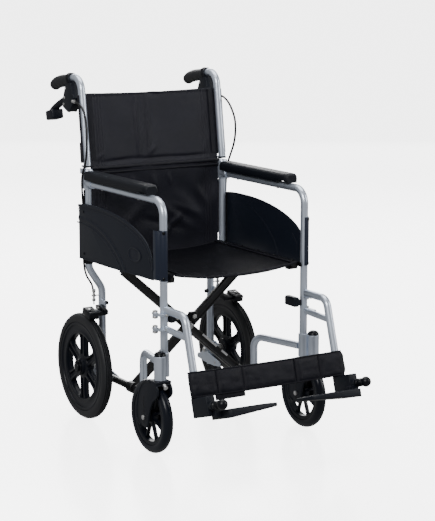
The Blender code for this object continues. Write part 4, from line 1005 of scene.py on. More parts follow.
def make_lever_mount(side, s):
    """Brake lever housing: clamp round the handle, deep body, screws and the cable barrel."""
    x, y, z = s * POST_X, LEVER_PIN.y, LEVER_PIN.z
    bm = bmesh.new()
    outline = [(y - 0.030, z + 0.049), (y - 0.038, z + 0.020), (y - 0.050, z + 0.008), (y - 0.046, z - 0.008),
               (y - 0.020, z - 0.036), (y - 0.010, z - 0.036), (y + 0.020, z - 0.024), (y + 0.022, z - 0.014),
               (y + 0.015, z + 0.012), (y + 0.006, z + 0.034), (y + 0.004, z + 0.049)]
    for hand in (-1, 1):
        plate(bm, side_outline(outline, x + hand * 0.0078), (hand * 0.0050, 0, 0), 0.0014, 3)
    plate(bm, side_outline([(y - 0.030, z + 0.048), (y - 0.0375, z + 0.020), (y - 0.049, z + 0.006),
                            (y - 0.045, z - 0.008), (y - 0.020, z - 0.0350), (y - 0.008, z - 0.024),
                            (y - 0.006, z + 0.030), (y - 0.008, z + 0.048)], x - 0.0085), (0.0170, 0, 0), 0.0006)
    clamp = handle_point(s, 0.0475)
    lathe(bm, [(0.0108, 0), (0.0144, 0), (0.0152, 0.0008), (0.0152, 0.0104), (0.0144, 0.0112), (0.0108, 0.0112)],
          clamp, GRIP_DIR, 36, closed=True)
    side_piece(bm, side, "lever_housing", "plastic", "back", "lever_mount")
    bm = bmesh.new()
    lathe(bm, [(0.0036, -0.002), (0.0052, 0.0), (0.0052, 0.0075), (0.0042, 0.0085), (0.0042, 0.0130),
               (0.0052, 0.0140), (0.0050, 0.0180), (0.0024, 0.0190)],
          (x + s * 0.0104, y - 0.0405, z - 0.0025), (0, -1, -0.10), 24)
    for dy, dz in ((0.000, 0.031), (0.008, 0.004), (0.013, -0.015)):
        screw_head(bm, (x + s * 0.0128, y + dy, z + dz), (s, 0, 0), 0.0042, 0.0018)
        screw_head(bm, (x - s * 0.0128, y + dy, z + dz), (-s, 0, 0), 0.0042, 0.0018)
    side_piece(bm, side, "lever_screws", "steel", "back")


def make_brake_lever(side, s):
    """Lever: tapering arm, then a wide finger paddle turned back under it."""
    bm = bmesh.new()
    x = s * POST_X
    points = [LEVER_PIN + Vector((x - POST_X, dy, dz)) for dy, dz in (
        (0.004, 0.006), (0.026, -0.002), (0.064, -0.018), (0.096, -0.033), (0.116, -0.046), (0.122, -0.055))]
    path = smooth_path(points, 6)
    radii = [0.0082 + 0.0016 * math.sin(math.pi * i / (len(path) - 1)) + 0.0010 * i / len(path)
             for i in range(len(path))]
    sweep(bm, path, radii, 24, 0.95, (1, 0, 0))
    end = LEVER_PIN + Vector((0, 0.125, -0.051))
    turn = Matrix.Rotation(math.radians(-12), 4, "X")
    block(bm, (x - 0.0185, end.y - 0.048, end.z - 0.0150),
          (x + 0.0185, end.y - 0.001, end.z + 0.0130), turn, 0.005, 5,
          shape=lambda c: Vector((c.x, c.y + (0.008 if c.z < 0 and c.y < 0 else 0.0), c.z)))
    side_piece(bm, side, "lever_arm", "plastic", "brake_lever", "brake_lever")


CABLE_R = 0.0030
CABLE_ROUTE = (     # across, behind the axle's line, up
    (0.2324, 0.0500, 0.9043), (0.2368, 0.028, 0.903),
    (0.2374, 0.010, 0.898), (0.2380, -0.010, 0.886), (0.2400, -0.026, 0.866),
    (0.2425, -0.038, 0.838), (0.2430, -0.040, 0.803), (0.2415, -0.034, 0.768),
    (0.2390, -0.020, 0.736), (0.2395, -0.004, 0.708), (0.2395, 0.002, 0.680),
    (0.2370, 0.004, 0.640), (0.2355, 0.004, 0.600), (0.2355, 0.004, 0.480),
    (0.2357, 0.003, 0.447), (0.2290, 0.002, 0.415), (0.2135, 0.001, 0.388),
    (0.2068, 0.001, 0.362))


def make_brake_cable(side, s):
    """Cable from the lever, looped forward of the tubes and down to the brake, with its adjuster."""
    path = smooth_path([(s * x, AXLE_Y + y, z) for x, y, z in CABLE_ROUTE], 6)
    bm = bmesh.new()
    sweep(bm, path, CABLE_R, 14)
    cable = piece(bm, side_name(side, "cable"), look("jacket"), None, [side_name(side, "brake_cable")])
    length = sum((b - a).length for a, b in zip(path, path[1:]))
    tuple(path[0])
    side_name(side, "frame")
    side_name(side, "back")
    s * 0.239
    s * 0.239
    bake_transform(cable)
    bm = bmesh.new()
    x, y = s * 0.2068, AXLE_Y + 0.001
    lathe(bm, [(0, 0.328), (0.0020, 0.328), (0.0020, 0.3375), (0.0052, 0.3380), (0.0052, 0.3450), (0.0034, 0.3456),
               (0.0034, 0.3515), (0.0064, 0.3520), (0.0064, 0.3568), (0.0038, 0.3574), (0.0038, 0.3640),
               (0.0054, 0.3646), (0.0054, 0.3720), (0.0032, 0.3740), (0, 0.3740)], (x, y, 0), (0, 0, 1), 24)
    block(bm, (s * (LOW_X + 0.0100), y - 0.004, 0.3530), (s * 0.2100, y + 0.004, 0.3556), bevel=0.0005)
    side_piece(bm, side, "cable_adjuster", "steel", "frame")


SHOE_ANGLE = math.radians(15)


def make_brake_shoe(side, s):
    """Rocker plate, the bridge over the tyre and the ribbed shoe block, with its nut."""
    turn = Matrix.Rotation(SHOE_ANGLE, 4, "X")
    reach = REAR_R + 0.015
    middle = Vector((s * WHEEL_X, AXLE_Y - reach * math.sin(SHOE_ANGLE),
                     REAR_R + reach * math.cos(SHOE_ANGLE)))
    half = Vector((0.0150, 0.024, 0.0098))
    bm = bmesh.new()
    block(bm, middle - half, middle + half, turn, 0.0022, 3)
    for i in range(4):
        across = middle + turn @ Vector((0, -0.0165 + i * 0.011, 0.0096))
        rib = Vector((0.0135, 0.0016, 0.0007))
        block(bm, across - rib, across + rib, turn, 0.0004, 2)
    inner, outer = s * (LOW_X + 0.0105), s * (LOW_X + 0.0245)
    plate(bm, side_outline([
        (AXLE_Y - 0.004, BRAKE_PIN_Z + 0.006), (AXLE_Y - 0.006, BRAKE_PIN_Z - 0.007),
        (BRAKE_PIN_Y, BRAKE_PIN_Z - 0.009), (middle.y - 0.016, middle.z - 0.006),
        (middle.y - 0.016, middle.z + 0.006), (BRAKE_PIN_Y, BRAKE_PIN_Z + 0.009)], inner),
          (outer - inner, 0, 0), 0.0014)
    block(bm, (s * (LOW_X + 0.012), middle.y - 0.014, middle.z - 0.005),
          (s * (WHEEL_X - 0.002), middle.y + 0.014, middle.z + 0.005), turn, 0.0015)
    side_piece(bm, side, "shoe_block", "cap", "brake_shoe", "brake_shoe")
    bm = bmesh.new()
    nut(bm, (outer + s * 0.0002, BRAKE_PIN_Y, BRAKE_PIN_Z), (s, 0, 0), 0.0058, 0.0040)
    nut(bm, middle + turn @ Vector((s * 0.004, 0.002, 0.0094)), turn @ Vector((0, 0, 1)), 0.0052, 0.0030)
    side_piece(bm, side, "shoe_nuts", "steel", "brake_shoe")


def make_lock_lever(side, s):
    """Finger lever that frees the folding back."""
    bm = bmesh.new()
    x = s * POST_X
    outline = [(AXLE_Y + y, z) for y, z in (
        (0.0190, 0.735), (0.0240, 0.7335), (0.0290, 0.734), (0.0312, 0.744), (0.0322, 0.756), (0.0340, 0.772),
        (0.0352, 0.788), (0.0330, 0.792), (0.0304, 0.791), (0.0270, 0.778), (0.0222, 0.764), (0.0200, 0.750))]
    plate(bm, side_outline(outline, x - 0.0068), (0.0136, 0, 0), 0.0014, 3)
    side_piece(bm, side, "fold_catch", "cap", "lock_lever", "lock_lever")


# Footrests --------------------------------------------------------------------------
HANGER_LEAN = math.radians(17)
HANGER_TOP = Vector((0, AXLE_Y - 0.543, 0.394))
HANGER_DOWN = Vector((0, -math.sin(HANGER_LEAN), -math.cos(HANGER_LEAN)))
HANGER_AHEAD = Vector((0, -math.cos(HANGER_LEAN), math.sin(HANGER_LEAN)))
HANGER_LONG = 0.214
FOOT_AXIS = Vector((0, AXLE_Y - 0.638, 0.176))
HEEL_HALF = 0.040
PLATE_TURN = Matrix.Rotation(-HANGER_LEAN, 4, "X")


def make_hanger(side, s):
    """Swing-away hanger: bent tube, strut, clamp plates and bolts."""
    x = s * POST_X
    shift = Vector((x, 0, 0))
    bar_y = FRONT_Y - 0.0145
    bm = bmesh.new()
    sweep(bm, fillet([(x, bar_y, HANGER_TOP.z), shift + HANGER_TOP,
                      shift + HANGER_TOP + HANGER_DOWN * HANGER_LONG], 0.030, 14), settings("frame").tube_radius)
    strut_end = HANGER_DOWN * ((HANGER_TOP.z - LUG_LEVELS[1] + 0.004) / math.cos(HANGER_LEAN))
    rod(bm, (x, bar_y, LUG_LEVELS[1]), shift + HANGER_TOP + strut_end, 0.0088, 28)
    for level in LUG_LEVELS:
        outline = [(s * (PIN_X + 0.0075), PIN_Y + 0.006), (s * (PIN_X + 0.0075), bar_y - 0.010),
                   (x - s * 0.009, bar_y - 0.010), (x - s * 0.009, bar_y + 0.0012),
                   (s * (PIN_X - 0.0055), bar_y + 0.0012), (s * (PIN_X - 0.0055), PIN_Y + 0.006)]
        plate(bm, [(u, v, level - LUG_THICK / 2) for u, v in outline], (0, 0, LUG_THICK), 0.0007)
    side_piece(bm, side, "footrest_tube", "silver", "hanger", "hanger")
    bm = bmesh.new()
    for level in LUG_LEVELS:
        nut(bm, (x + s * 0.006, bar_y - 0.0105, level), (s * 0.2, -1, 0), 0.0048, 0.0034)
    side_piece(bm, side, "footrest_bolts", "steel", "hanger")


def make_heel(side, s):
    """Hinge block on the hanger's foot, its knob and polished ball end."""
    shift = Vector((s * POST_X, 0, 0))
    centre = shift + FOOT_AXIS
    half = Vector((0.0135, HEEL_HALF, 0.0260))
    bm = bmesh.new()
    block(bm, centre - half, centre + half, PLATE_TURN, 0.0034, 4)
    lathe(bm, [(0.0106, 0), (0.0145, 0), (0.0152, 0.001), (0.0152, 0.007), (0.0140, 0.008), (0.0106, 0.008)],
          shift + HANGER_TOP + HANGER_DOWN * 0.196, HANGER_DOWN, 32, closed=True)
    side_piece(bm, side, "hinge_block", "plastic", "hanger", "heel_block")
    bm = bmesh.new()
    lathe(bm, [(0, 0.0575), (0.0104, 0.0575), (0.0112, 0.0583), (0.0112, 0.0640), (0.0100, 0.0650),
               (0.0100, 0.0662), (0.0112, 0.0672), (0.0112, 0.0740), (0.0100, 0.0760), (0.0072, 0.0790),
               (0.0072, 0.0820), (0.0080, 0.0836)] + [
                   (0.0140 * math.cos(math.radians(a)), 0.0950 + 0.0140 * math.sin(math.radians(a)))
                   for a in range(-54, 91, 12)], centre, HANGER_AHEAD, 36)
    rod(bm, centre + HANGER_AHEAD * 0.038, centre + HANGER_AHEAD * 0.060, 0.0050, 20)
    side_piece(bm, side, "hinge_knob", "cap", "hanger")


PLATE_START = 0.0165
PLATE_END = 0.1740
PLATE_BACK = 0.002
PLATE_FRONT = 0.098


def make_footplate(side, s):
    """Tapering footplate with ribs on top and its hinge lug."""
    centre = Vector((s * POST_X, 0, 0)) + FOOT_AXIS
    bm = bmesh.new()
    outline = [(PLATE_START, -PLATE_BACK), (PLATE_START, -PLATE_FRONT + 0.008),
               (PLATE_START + 0.008, -PLATE_FRONT), (PLATE_END - 0.030, -PLATE_FRONT),
               (PLATE_END - 0.010, -PLATE_FRONT + 0.008), (PLATE_END, -PLATE_FRONT + 0.028),
               (PLATE_END, -PLATE_BACK - 0.016), (PLATE_END - 0.014, -PLATE_BACK)]
    made = plate(bm, [(s * (POST_X - u), v, -0.0370) for u, v in outline], (0, 0, 0.0215), 0)
    for v in made:
        t = (POST_X - abs(v.co.x) - PLATE_START) / (PLATE_END - PLATE_START)
        v.co.z = (-0.015 - 0.001 * t) if v.co.z > -0.025 else (-0.037 + 0.012 * t)
    bevel_sharp(bm, made, 0.0022, 3)
    for i in range(9):
        u = PLATE_START + 0.018 + i * 0.0145
        rib = [(s * (POST_X - u), -PLATE_BACK - 0.014, -0.0148 - 0.001 * (u / 0.16)),
               (s * (POST_X - u), -PLATE_FRONT + 0.016, -0.0148 - 0.001 * (u / 0.16))]
        sweep(bm, rib, 0.0018, 10, 0.5, (1, 0, 0))
    bmesh.ops.transform(bm, verts=bm.verts, matrix=Matrix.Translation(FOOT_AXIS) @ PLATE_TURN)
    start, end = HEEL_HALF + 0.0006, HEEL_HALF + 0.0150
    middle = centre - Vector((s * 0.0135, 0, 0)) + HANGER_AHEAD * (start + end) / 2 + HANGER_DOWN * 0.0185
    half = Vector((0.0135, (end - start) / 2 - 0.0001, 0.0130))
    block(bm, middle - half, middle + half, PLATE_TURN, 0.0012)
    lathe(bm, [(0.0052, start), (0.0118, start), (0.0125, start + 0.0007), (0.0125, end - 0.0007),
               (0.0118, end), (0.0052, end)], centre, HANGER_AHEAD, 32, closed=True)
    side_piece(bm, side, "foot_board", "plastic", "footplate", "footplate")


def make_release_lever(side, s):
    """Thumb latch inside the front post that frees the hanger."""
    bm = bmesh.new()
    outline = [(s * x, FRONT_Y + y) for x, y in (
        (0.2093, -0.008), (0.2093, 0.012), (0.2086, 0.030), (0.2066, 0.044), (0.2040, 0.0488), (0.2000, 0.0490),
        (0.1982, 0.044), (0.1972, 0.020), (0.1967, -0.004), (0.1990, -0.008))]
    plate(bm, [(x, y, 0.3590) for x, y in outline], (0, 0, 0.0164), 0.0022, 4)
    block(bm, (s * 0.1880, FRONT_Y - 0.006, 0.3545), (s * 0.2060, FRONT_Y + 0.046, 0.3815),
          bevel=0.005, segments=5)
    for i in range(5):
        y = FRONT_Y + 0.008 + i * 0.007
        block(bm, (s * 0.1886, y - 0.0012, 0.3595), (s * 0.1900, y + 0.0012, 0.3715), bevel=0.0004, segments=2)
    side_piece(bm, side, "thumb_latch", "plastic", "release_lever", "release_lever")


# Cross brace ------------------------------------------------------------------------
def make_cross_arm(name, s, y, body, node):
    """Scissor arm: channelled bar, pivot sleeve, gusset and the seat rail with rounded ends."""
    low = Vector((-s * LOW_X, y, RAIL_Z))
    centre = Vector((0, y, CENTRE_Z))
    along = (centre - low).normalized()
    length = (s * SEAT_X - low.x) / along.x
    lean = math.atan2(along.z, abs(along.x))
    bm = bmesh.new()
    block(bm, (-0.5, -0.5, -0.5), (0.5, 0.5, 0.5), bevel=0)
    bmesh.ops.transform(bm, verts=bm.verts, matrix=Matrix.Diagonal((length - 0.004, 0.016, 0.024, 1.0)))
    faces = [f for f in bm.faces if abs(f.normal.y) > 0.9]
    bmesh.ops.inset_individual(bm, faces=faces, thickness=0.0055, depth=0.0)
    bmesh.ops.inset_individual(bm, faces=faces, thickness=0.0010, depth=-0.0030)
    bevel_sharp(bm, list(bm.verts), 0.0010, 2)
    bmesh.ops.transform(bm, verts=bm.verts, matrix=Matrix.Translation(low + along * length / 2)
                        @ Matrix.Rotation(-s * lean, 4, "Y"))
    block(bm, (s * (SEAT_X - 0.014), y - 0.012, 0.444), (s * (SEAT_X + 0.006), y + 0.012, 0.472), bevel=0.001)
    lathe(bm, [(0.0109, -0.014), (0.0154, -0.014), (0.0160, -0.0134), (0.0160, 0.0134), (0.0154, 0.014),
               (0.0109, 0.014)], low, (0, 1, 0), 36, closed=True)
    rod(bm, (s * SEAT_X, FRONT_Y + 0.004, SEAT_Z), (s * SEAT_X, AXLE_Y - 0.030, SEAT_Z),
        settings("frame").tube_radius, 28, 0.0014)
    piece(bm, name, look("paint"), body, [node])
    return along, lean


LINK_SPOTS = ((-0.051, 0.311), (0.0035, 0.308))


def make_brace():
    """Both scissor arms, their centre bolt, links and the blank labels."""
    make_cross_arm("brace_bar_front", 1, ARM_A_Y, "brace_front", "cross_arm_front")
    along, lean = make_cross_arm("brace_bar_rear", -1, ARM_B_Y, "brace_rear", "cross_arm_rear")
    bm = bmesh.new()
    rod(bm, (0, ARM_A_Y - 0.012, CENTRE_Z), (0, ARM_B_Y + 0.012, CENTRE_Z), 0.0054, 20)
    lathe(bm, [(0.0057, 0.0082), (0.0125, 0.0084), (0.0125, 0.0098), (0.0057, 0.0100)], (0, ARM_A_Y, CENTRE_Z),
          (0, -1, 0), 28)
    nut(bm, (0, ARM_A_Y - 0.0098, CENTRE_Z), (0, -1, 0), 0.0080, 0.0058)
    piece(bm, "centre_bolt", look("steel"), "brace_front")
    bm, bolts = bmesh.new(), bmesh.new()
    for x, z in LINK_SPOTS:
        block(bm, (x - 0.0125, ARM_A_Y - 0.026, z - 0.0125), (x + 0.0125, ARM_A_Y - 0.009, z + 0.0125),
              bevel=0.005, segments=4)
        nut(bolts, (x, ARM_A_Y - 0.0258, z), (0, -1, 0), 0.0070, 0.0052)
    sweep(bm, [(x, ARM_A_Y - 0.016, z) for x, z in LINK_SPOTS] + [(0.012, ARM_A_Y - 0.012, CENTRE_Z + 0.006)],
          0.0070, 16, 0.8, (0, 1, 0))
    piece(bm, "fold_link", look("cap"), "brace_front")
    piece(bolts, "link_bolts", look("steel"), "brace_front")
    bm = bmesh.new()
    turn = Matrix.Rotation(lean, 4, "Y")
    upward = Vector((math.sin(lean), 0, math.cos(lean)))
    for start, end in ((-0.128, -0.066), (-0.176, -0.150)):
        middle = Vector((0, ARM_B_Y - 0.0084, CENTRE_Z)) + along * (start + end) / 2 + upward * 0.0088
        half = Vector(((end - start) / 2, 0.0004, 0.0030))
        block(bm, middle - half, middle + half, turn, 0.0002, 1)
    piece(bm, "blank_labels", look("label"), "brace_rear")


# Slings and straps ------------------------------------------------------------------
BACK_LEAN = 0.0363 / (0.983 - FOLD_Z)


def segment_distance(x, z, start, end):
    """Distance to a segment, and how far along it the nearest point lies."""
    ax, az = start
    dx, dz = end[0] - ax, end[1] - az
    t = max(0.0, min(1.0, ((x - ax) * dx + (z - az) * dz) / (dx * dx + dz * dz)))
    return math.hypot(x - ax - dx * t, z - az - dz * t), t


def creases(x, z, folds):
    """Height of soft ridges that run along the given folds and fade at their ends."""
    total = 0.0
    for start, end, width, height in folds:
        away, t = segment_distance(x, z, start, end)
        total += height * math.exp(-(away / width) ** 2) * math.sin(math.pi * (0.08 + 0.84 * t))
    return total


def cloth(bm, size, steps, shape):
    """Grid of cloth with its weave in metres, each point placed by a function."""
    width, height = size
    bmesh.ops.create_grid(bm, x_segments=steps[0], y_segments=steps[1], size=0.5)
    weave = bm.loops.layers.uv.new("weave")
    for face in bm.faces:
        for loop in face.loops:
            loop[weave].uv = (loop.vert.co.x * width, loop.vert.co.y * height)
    for v in bm.verts:
        v.co = shape(v.co.x * width, v.co.y * height)


def run_lengths(section, start=0.0):
    """Length reached at each point of a section."""
    lengths = [start]
    for a, b in zip(section, section[1:]):
        lengths.append(lengths[-1] + math.dist(a, b))
    return lengths


def along_section(section, lengths, far):
    """Point of a section at a length along it."""
    i = max(j for j in range(len(section) - 1) if lengths[j] <= far + 1e-9)
    t = min(1, (far - lengths[i]) / (lengths[i + 1] - lengths[i]))
    return [a + (b - a) * t for a, b in zip(section[i], section[i + 1])]


def thicken(bm, thickness):
    bmesh.ops.recalc_face_normals(bm, faces=bm.faces)
    bmesh.ops.solidify(bm, geom=list(bm.faces), thickness=thickness)


def wander(x, z, size, seed):
    """Slow random drift of a cloth's surface."""
    return noise.noise(Vector((x / size, z / size, seed)))


UPPER_FOLDS = (
    ((-0.052, 0.925), (-0.048, 0.750), 0.006, 1.0), ((-0.012, 0.925), (-0.014, 0.760), 0.007, 0.7),
    ((-0.185, 0.732), (-0.040, 0.739), 0.006, -0.9), ((-0.060, 0.735), (0.100, 0.737), 0.005, -0.7),
    ((0.060, 0.733), (0.180, 0.737), 0.005, -0.8), ((-0.020, 0.745), (0.010, 0.775), 0.007, 0.6),
    ((-0.190, 0.742), (-0.165, 0.760), 0.006, 0.7), ((0.165, 0.745), (0.186, 0.800), 0.008, 0.5),
    ((-0.012, 0.926), (0.030, 0.914), 0.007, -0.9), ((-0.170, 0.90), (-0.168, 0.76), 0.012, 0.35))
LOWER_FOLDS = (
    ((0.185, 0.515), (0.060, 0.640), 0.016, 1.5), ((0.150, 0.505), (0.020, 0.600), 0.012, 1.1),
    ((0.190, 0.575), (0.110, 0.665), 0.012, 1.0), ((0.100, 0.520), (-0.040, 0.560), 0.012, -1.2),
    ((0.020, 0.505), (0.090, 0.570), 0.010, 1.3), ((-0.010, 0.690), (0.005, 0.640), 0.009, 1.0),
    ((0.125, 0.680), (0.150, 0.610), 0.010, 0.9), ((0.165, 0.690), (0.172, 0.560), 0.009, -0.7),
    ((-0.140, 0.515), (-0.020, 0.620), 0.016, 1.0), ((-0.180, 0.690), (-0.150, 0.640), 0.010, 0.8),
    ((0.040, 0.692), (0.052, 0.655), 0.006, 0.9), ((-0.080, 0.690), (-0.060, 0.650), 0.008, 0.7),
    ((0.060, 0.600), (0.145, 0.560), 0.010, 1.0))
SEAMS = (0.1660, 0.1745, 0.1830)


def seam_dip(x, depth=0.0017, width=0.0016):
    """Stitched lines pull the cloth in near both side edges."""
    return -sum(depth * math.exp(-((abs(x) - seam) / width) ** 2) for seam in SEAMS)


def make_back_upper():
    """Upper back sling, leaning with the back tubes, hemmed at the top."""
    wrinkle = settings("soft").wrinkle
    low, high = 0.7165, 0.9290
    half = PANEL_HALF

    def shape(x, v):
        t = v / (high - low) + 0.5
        z = low + t * (high - low)
        z -= 0.0045 * math.cos(math.pi * x / (2 * half)) * t + 0.0012 * wander(x, 0, 0.05, 3.0) * t
        edge = 1 - min(1, abs(x) / half) ** 6
        lift = wrinkle * (creases(x, z, UPPER_FOLDS) + 0.35 * wander(x, z, 0.09, 1.0)) * edge
        lift += seam_dip(x) - 0.0008 * math.exp(-((high - z - 0.012) / 0.0013) ** 2)
        lift += 0.0012 * math.exp(-((high - z - 0.004) / 0.004) ** 2)
        belly = -0.006 * math.cos(math.pi * x / (2 * half))
        return Vector((x, AXLE_Y + (z - FOLD_Z) * BACK_LEAN + 0.0045 - belly - lift, z))

    bm = bmesh.new()
    cloth(bm, (2 * half, high - low), (190, 90), shape)
    thicken(bm, 0.0022)
    item = piece(bm, "back_panel_upper", look("nylon"), "right_back", ["back_sling_upper"], sharp=CLOTH_SHARP)
    return [item]


def make_back_lower():
    """Lower back sling with its creases, and the two padded rolls along the fold."""
    wrinkle = settings("soft").wrinkle
    low, high = 0.4560, 0.7200
    half = PANEL_HALF

    def shape(x, v):
        t = v / (high - low) + 0.5
        z = low + t * (high - low)
        edge = 1 - min(1, abs(x) / half) ** 6
        slack = 1 - 0.6 * t
        lift = wrinkle * slack * (1.25 * creases(x, z, LOWER_FOLDS) + 0.9 * wander(x, z, 0.07, 5.0)) * edge
        lift += seam_dip(x)
        belly = -0.010 * math.cos(math.pi * x / (2 * half)) * math.sin(math.pi * min(1, 0.25 + t * 0.75))
        return Vector((x, AXLE_Y + 0.0035 - belly - lift, z))

    bm = bmesh.new()
    cloth(bm, (2 * half, high - low), (190, 96), shape)
    thicken(bm, 0.0022)
    sheet = piece(bm, "back_panel_lower", look("nylon"), "right_frame", ["back_sling_lower"], sharp=CLOTH_SHARP)
    made = [sheet]
    for number, (z, radius) in enumerate(((0.7195, 0.0058), (0.7065, 0.0050))):
        bm = bmesh.new()
        path = [Vector((half * (i / 30 - 1), AXLE_Y - 0.0012 + 0.008 * math.cos(math.pi * (i / 30 - 1) / 2)
                        + 0.0009 * wander(i * 0.02, number, 0.04, 9.0),
                        z - 0.0018 * math.cos(math.pi * (i / 30 - 1) / 2)
                        + 0.0010 * wander(i * 0.02, number, 0.03, 7.0))) for i in range(61)]
        radii = [radius * (1 + 0.10 * wander(i * 0.02, 0, 0.022, 11.0 + number)) for i in range(61)]
        radii[0] = radii[-1] = radius * 0.55
        sweep(bm, path, radii, 18, 1.0, (0, 0, 1))
        roll = piece(bm, "fold_roll_%d" % (number + 1), look("strap"), "right_frame")
        made.append(roll)
    return made


def make_sleeve(side, s, name, low, high, lean, body):
    """Edge of a back sling, stitched on and wrapped behind the tube."""
    radius = 0.0121
    section = [(0.1900, 0.0032), (0.1980, 0.0034), (0.2060, 0.0046)]
    section += [(POST_X - radius * math.cos(math.radians(a)), radius * math.sin(math.radians(a)))
                for a in range(38, 203, 8)]
    lengths = run_lengths(section)
    width = lengths[-1]

    def shape(u, v):
        along = min(max(u + width / 2, 0), width)
        x, y = along_section(section, lengths, along)
        z = low + (v / (high - low) + 0.5) * (high - low)
        return Vector((s * x, AXLE_Y + (z - FOLD_Z) * lean + y + 0.0004 * wander(x, z, 0.02, 2.0), z))

    bm = bmesh.new()
    cloth(bm, (width, high - low), (34, 44), shape)
    thicken(bm, 0.0016)
    item = piece(bm, side_name(side, name), look("strap"), body, sharp=CLOTH_SHARP)
    side_name(side, "back_tube" if lean else "rear_tube")
    bm = bmesh.new()
    for z in [low + (high - low) * (0.12 + 0.38 * i) for i in range(3)]:
        spot = Vector((s * (POST_X + radius * 0.5), AXLE_Y + (z - FOLD_Z) * lean + radius * 0.90, z))
        screw_head(bm, spot, (s * 0.5, 0.87, 0), 0.0034, 0.0014)
    piece(bm, side_name(side, name + "_screws"), look("cap"), body)


def make_seat():
    """Seat sling over both rails, with side bands, piping, front hem and screws."""
    front, back = FRONT_Y - 0.009, AXLE_Y - 0.033
    sag = settings("soft").seat_sag
    rail_r = 0.0122
    section = [(SEAT_X - rail_r * 0.35, SEAT_Z + rail_r * 0.937)]
    section += [(SEAT_X + rail_r * math.sin(math.radians(a)), SEAT_Z + rail_r * math.cos(math.radians(a)))
                for a in range(-8, 118, 12)]
    inner = section[0][0]
    lengths = run_lengths(section, inner)
    half = lengths[-1]
    folds = (((-0.12, back - 0.03), (0.02, front + 0.16), 0.020, -0.5),
             ((0.13, back - 0.02), (0.03, front + 0.20), 0.022, -0.5),
             ((-0.15, front + 0.10), (-0.05, front + 0.02), 0.016, 0.4),
             ((0.16, front + 0.13), (0.06, front + 0.03), 0.016, 0.4),
             ((-0.02, front + 0.05), (0.05, back - 0.10), 0.028, -0.4))
    wrinkle = settings("soft").wrinkle

    def height(x, y):
        t = (y - front) / (back - front)
        bowl = 1 - (abs(x) / inner) ** 2.2
        deep = sag * (0.72 + 0.28 * math.sin(math.pi * min(1, 0.2 + t * 0.8)))
        return section[0][1] + 0.0006 - deep * bowl + wrinkle * creases(x, y, folds) * bowl + (
            0.0010 * wander(x, y, 0.06, 4.0) * bowl)

    def shape(u, v):
        y = front + (v / (back - front) + 0.5) * (back - front)
        side, along = math.copysign(1, u), abs(u)
        if along <= inner:
            dip = 0.0022 * max(0, 1 - (y - front) / 0.010) ** 2
            return Vector((u, y, height(u, y) - dip))
        x, z = along_section(section, lengths, along)
        return Vector((side * x, y, z))

    bm = bmesh.new()
    cloth(bm, (2 * half, back - front), (150, 120), shape)
    thicken(bm, 0.0022)
    made = [piece(bm, "seat_panel", look("seat"), None, ["seat_sling"], sharp=CLOTH_SHARP)]
    2 * half
    bm = bmesh.new()
    ys = [front + (back - front) * i / 40 for i in range(41)]
    for x in (-0.176, 0.176):
        sweep(bm, [(x, y, height(x, y) + 0.0030) for y in ys], 0.0021, 12)
    xs = [-inner + 2 * inner * i / 60 for i in range(61)]
    for y, radius in ((front - 0.0002, 0.0036), (back, 0.0030)):
        sweep(bm, [(x, y, height(x, y) - 0.0010) for x in xs], radius, 14, 0.85, (0, 0, 1))
    made.append(piece(bm, "seat_piping", look("tape"), None))
    bm = bmesh.new()
    for x in (-SEAT_X, SEAT_X):
        for i in range(5):
            y = front + 0.030 + (back - front - 0.060) * i / 4
            screw_head(bm, (x, y, SEAT_Z + rail_r + 0.0008), (0, 0, 1), 0.0044, 0.0018)
    made.append(piece(bm, "seat_screws", look("cap"), None))
    for item in made:
        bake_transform(item)


STRAP_LINES = (-0.164, -0.085, 0.079, 0.155)


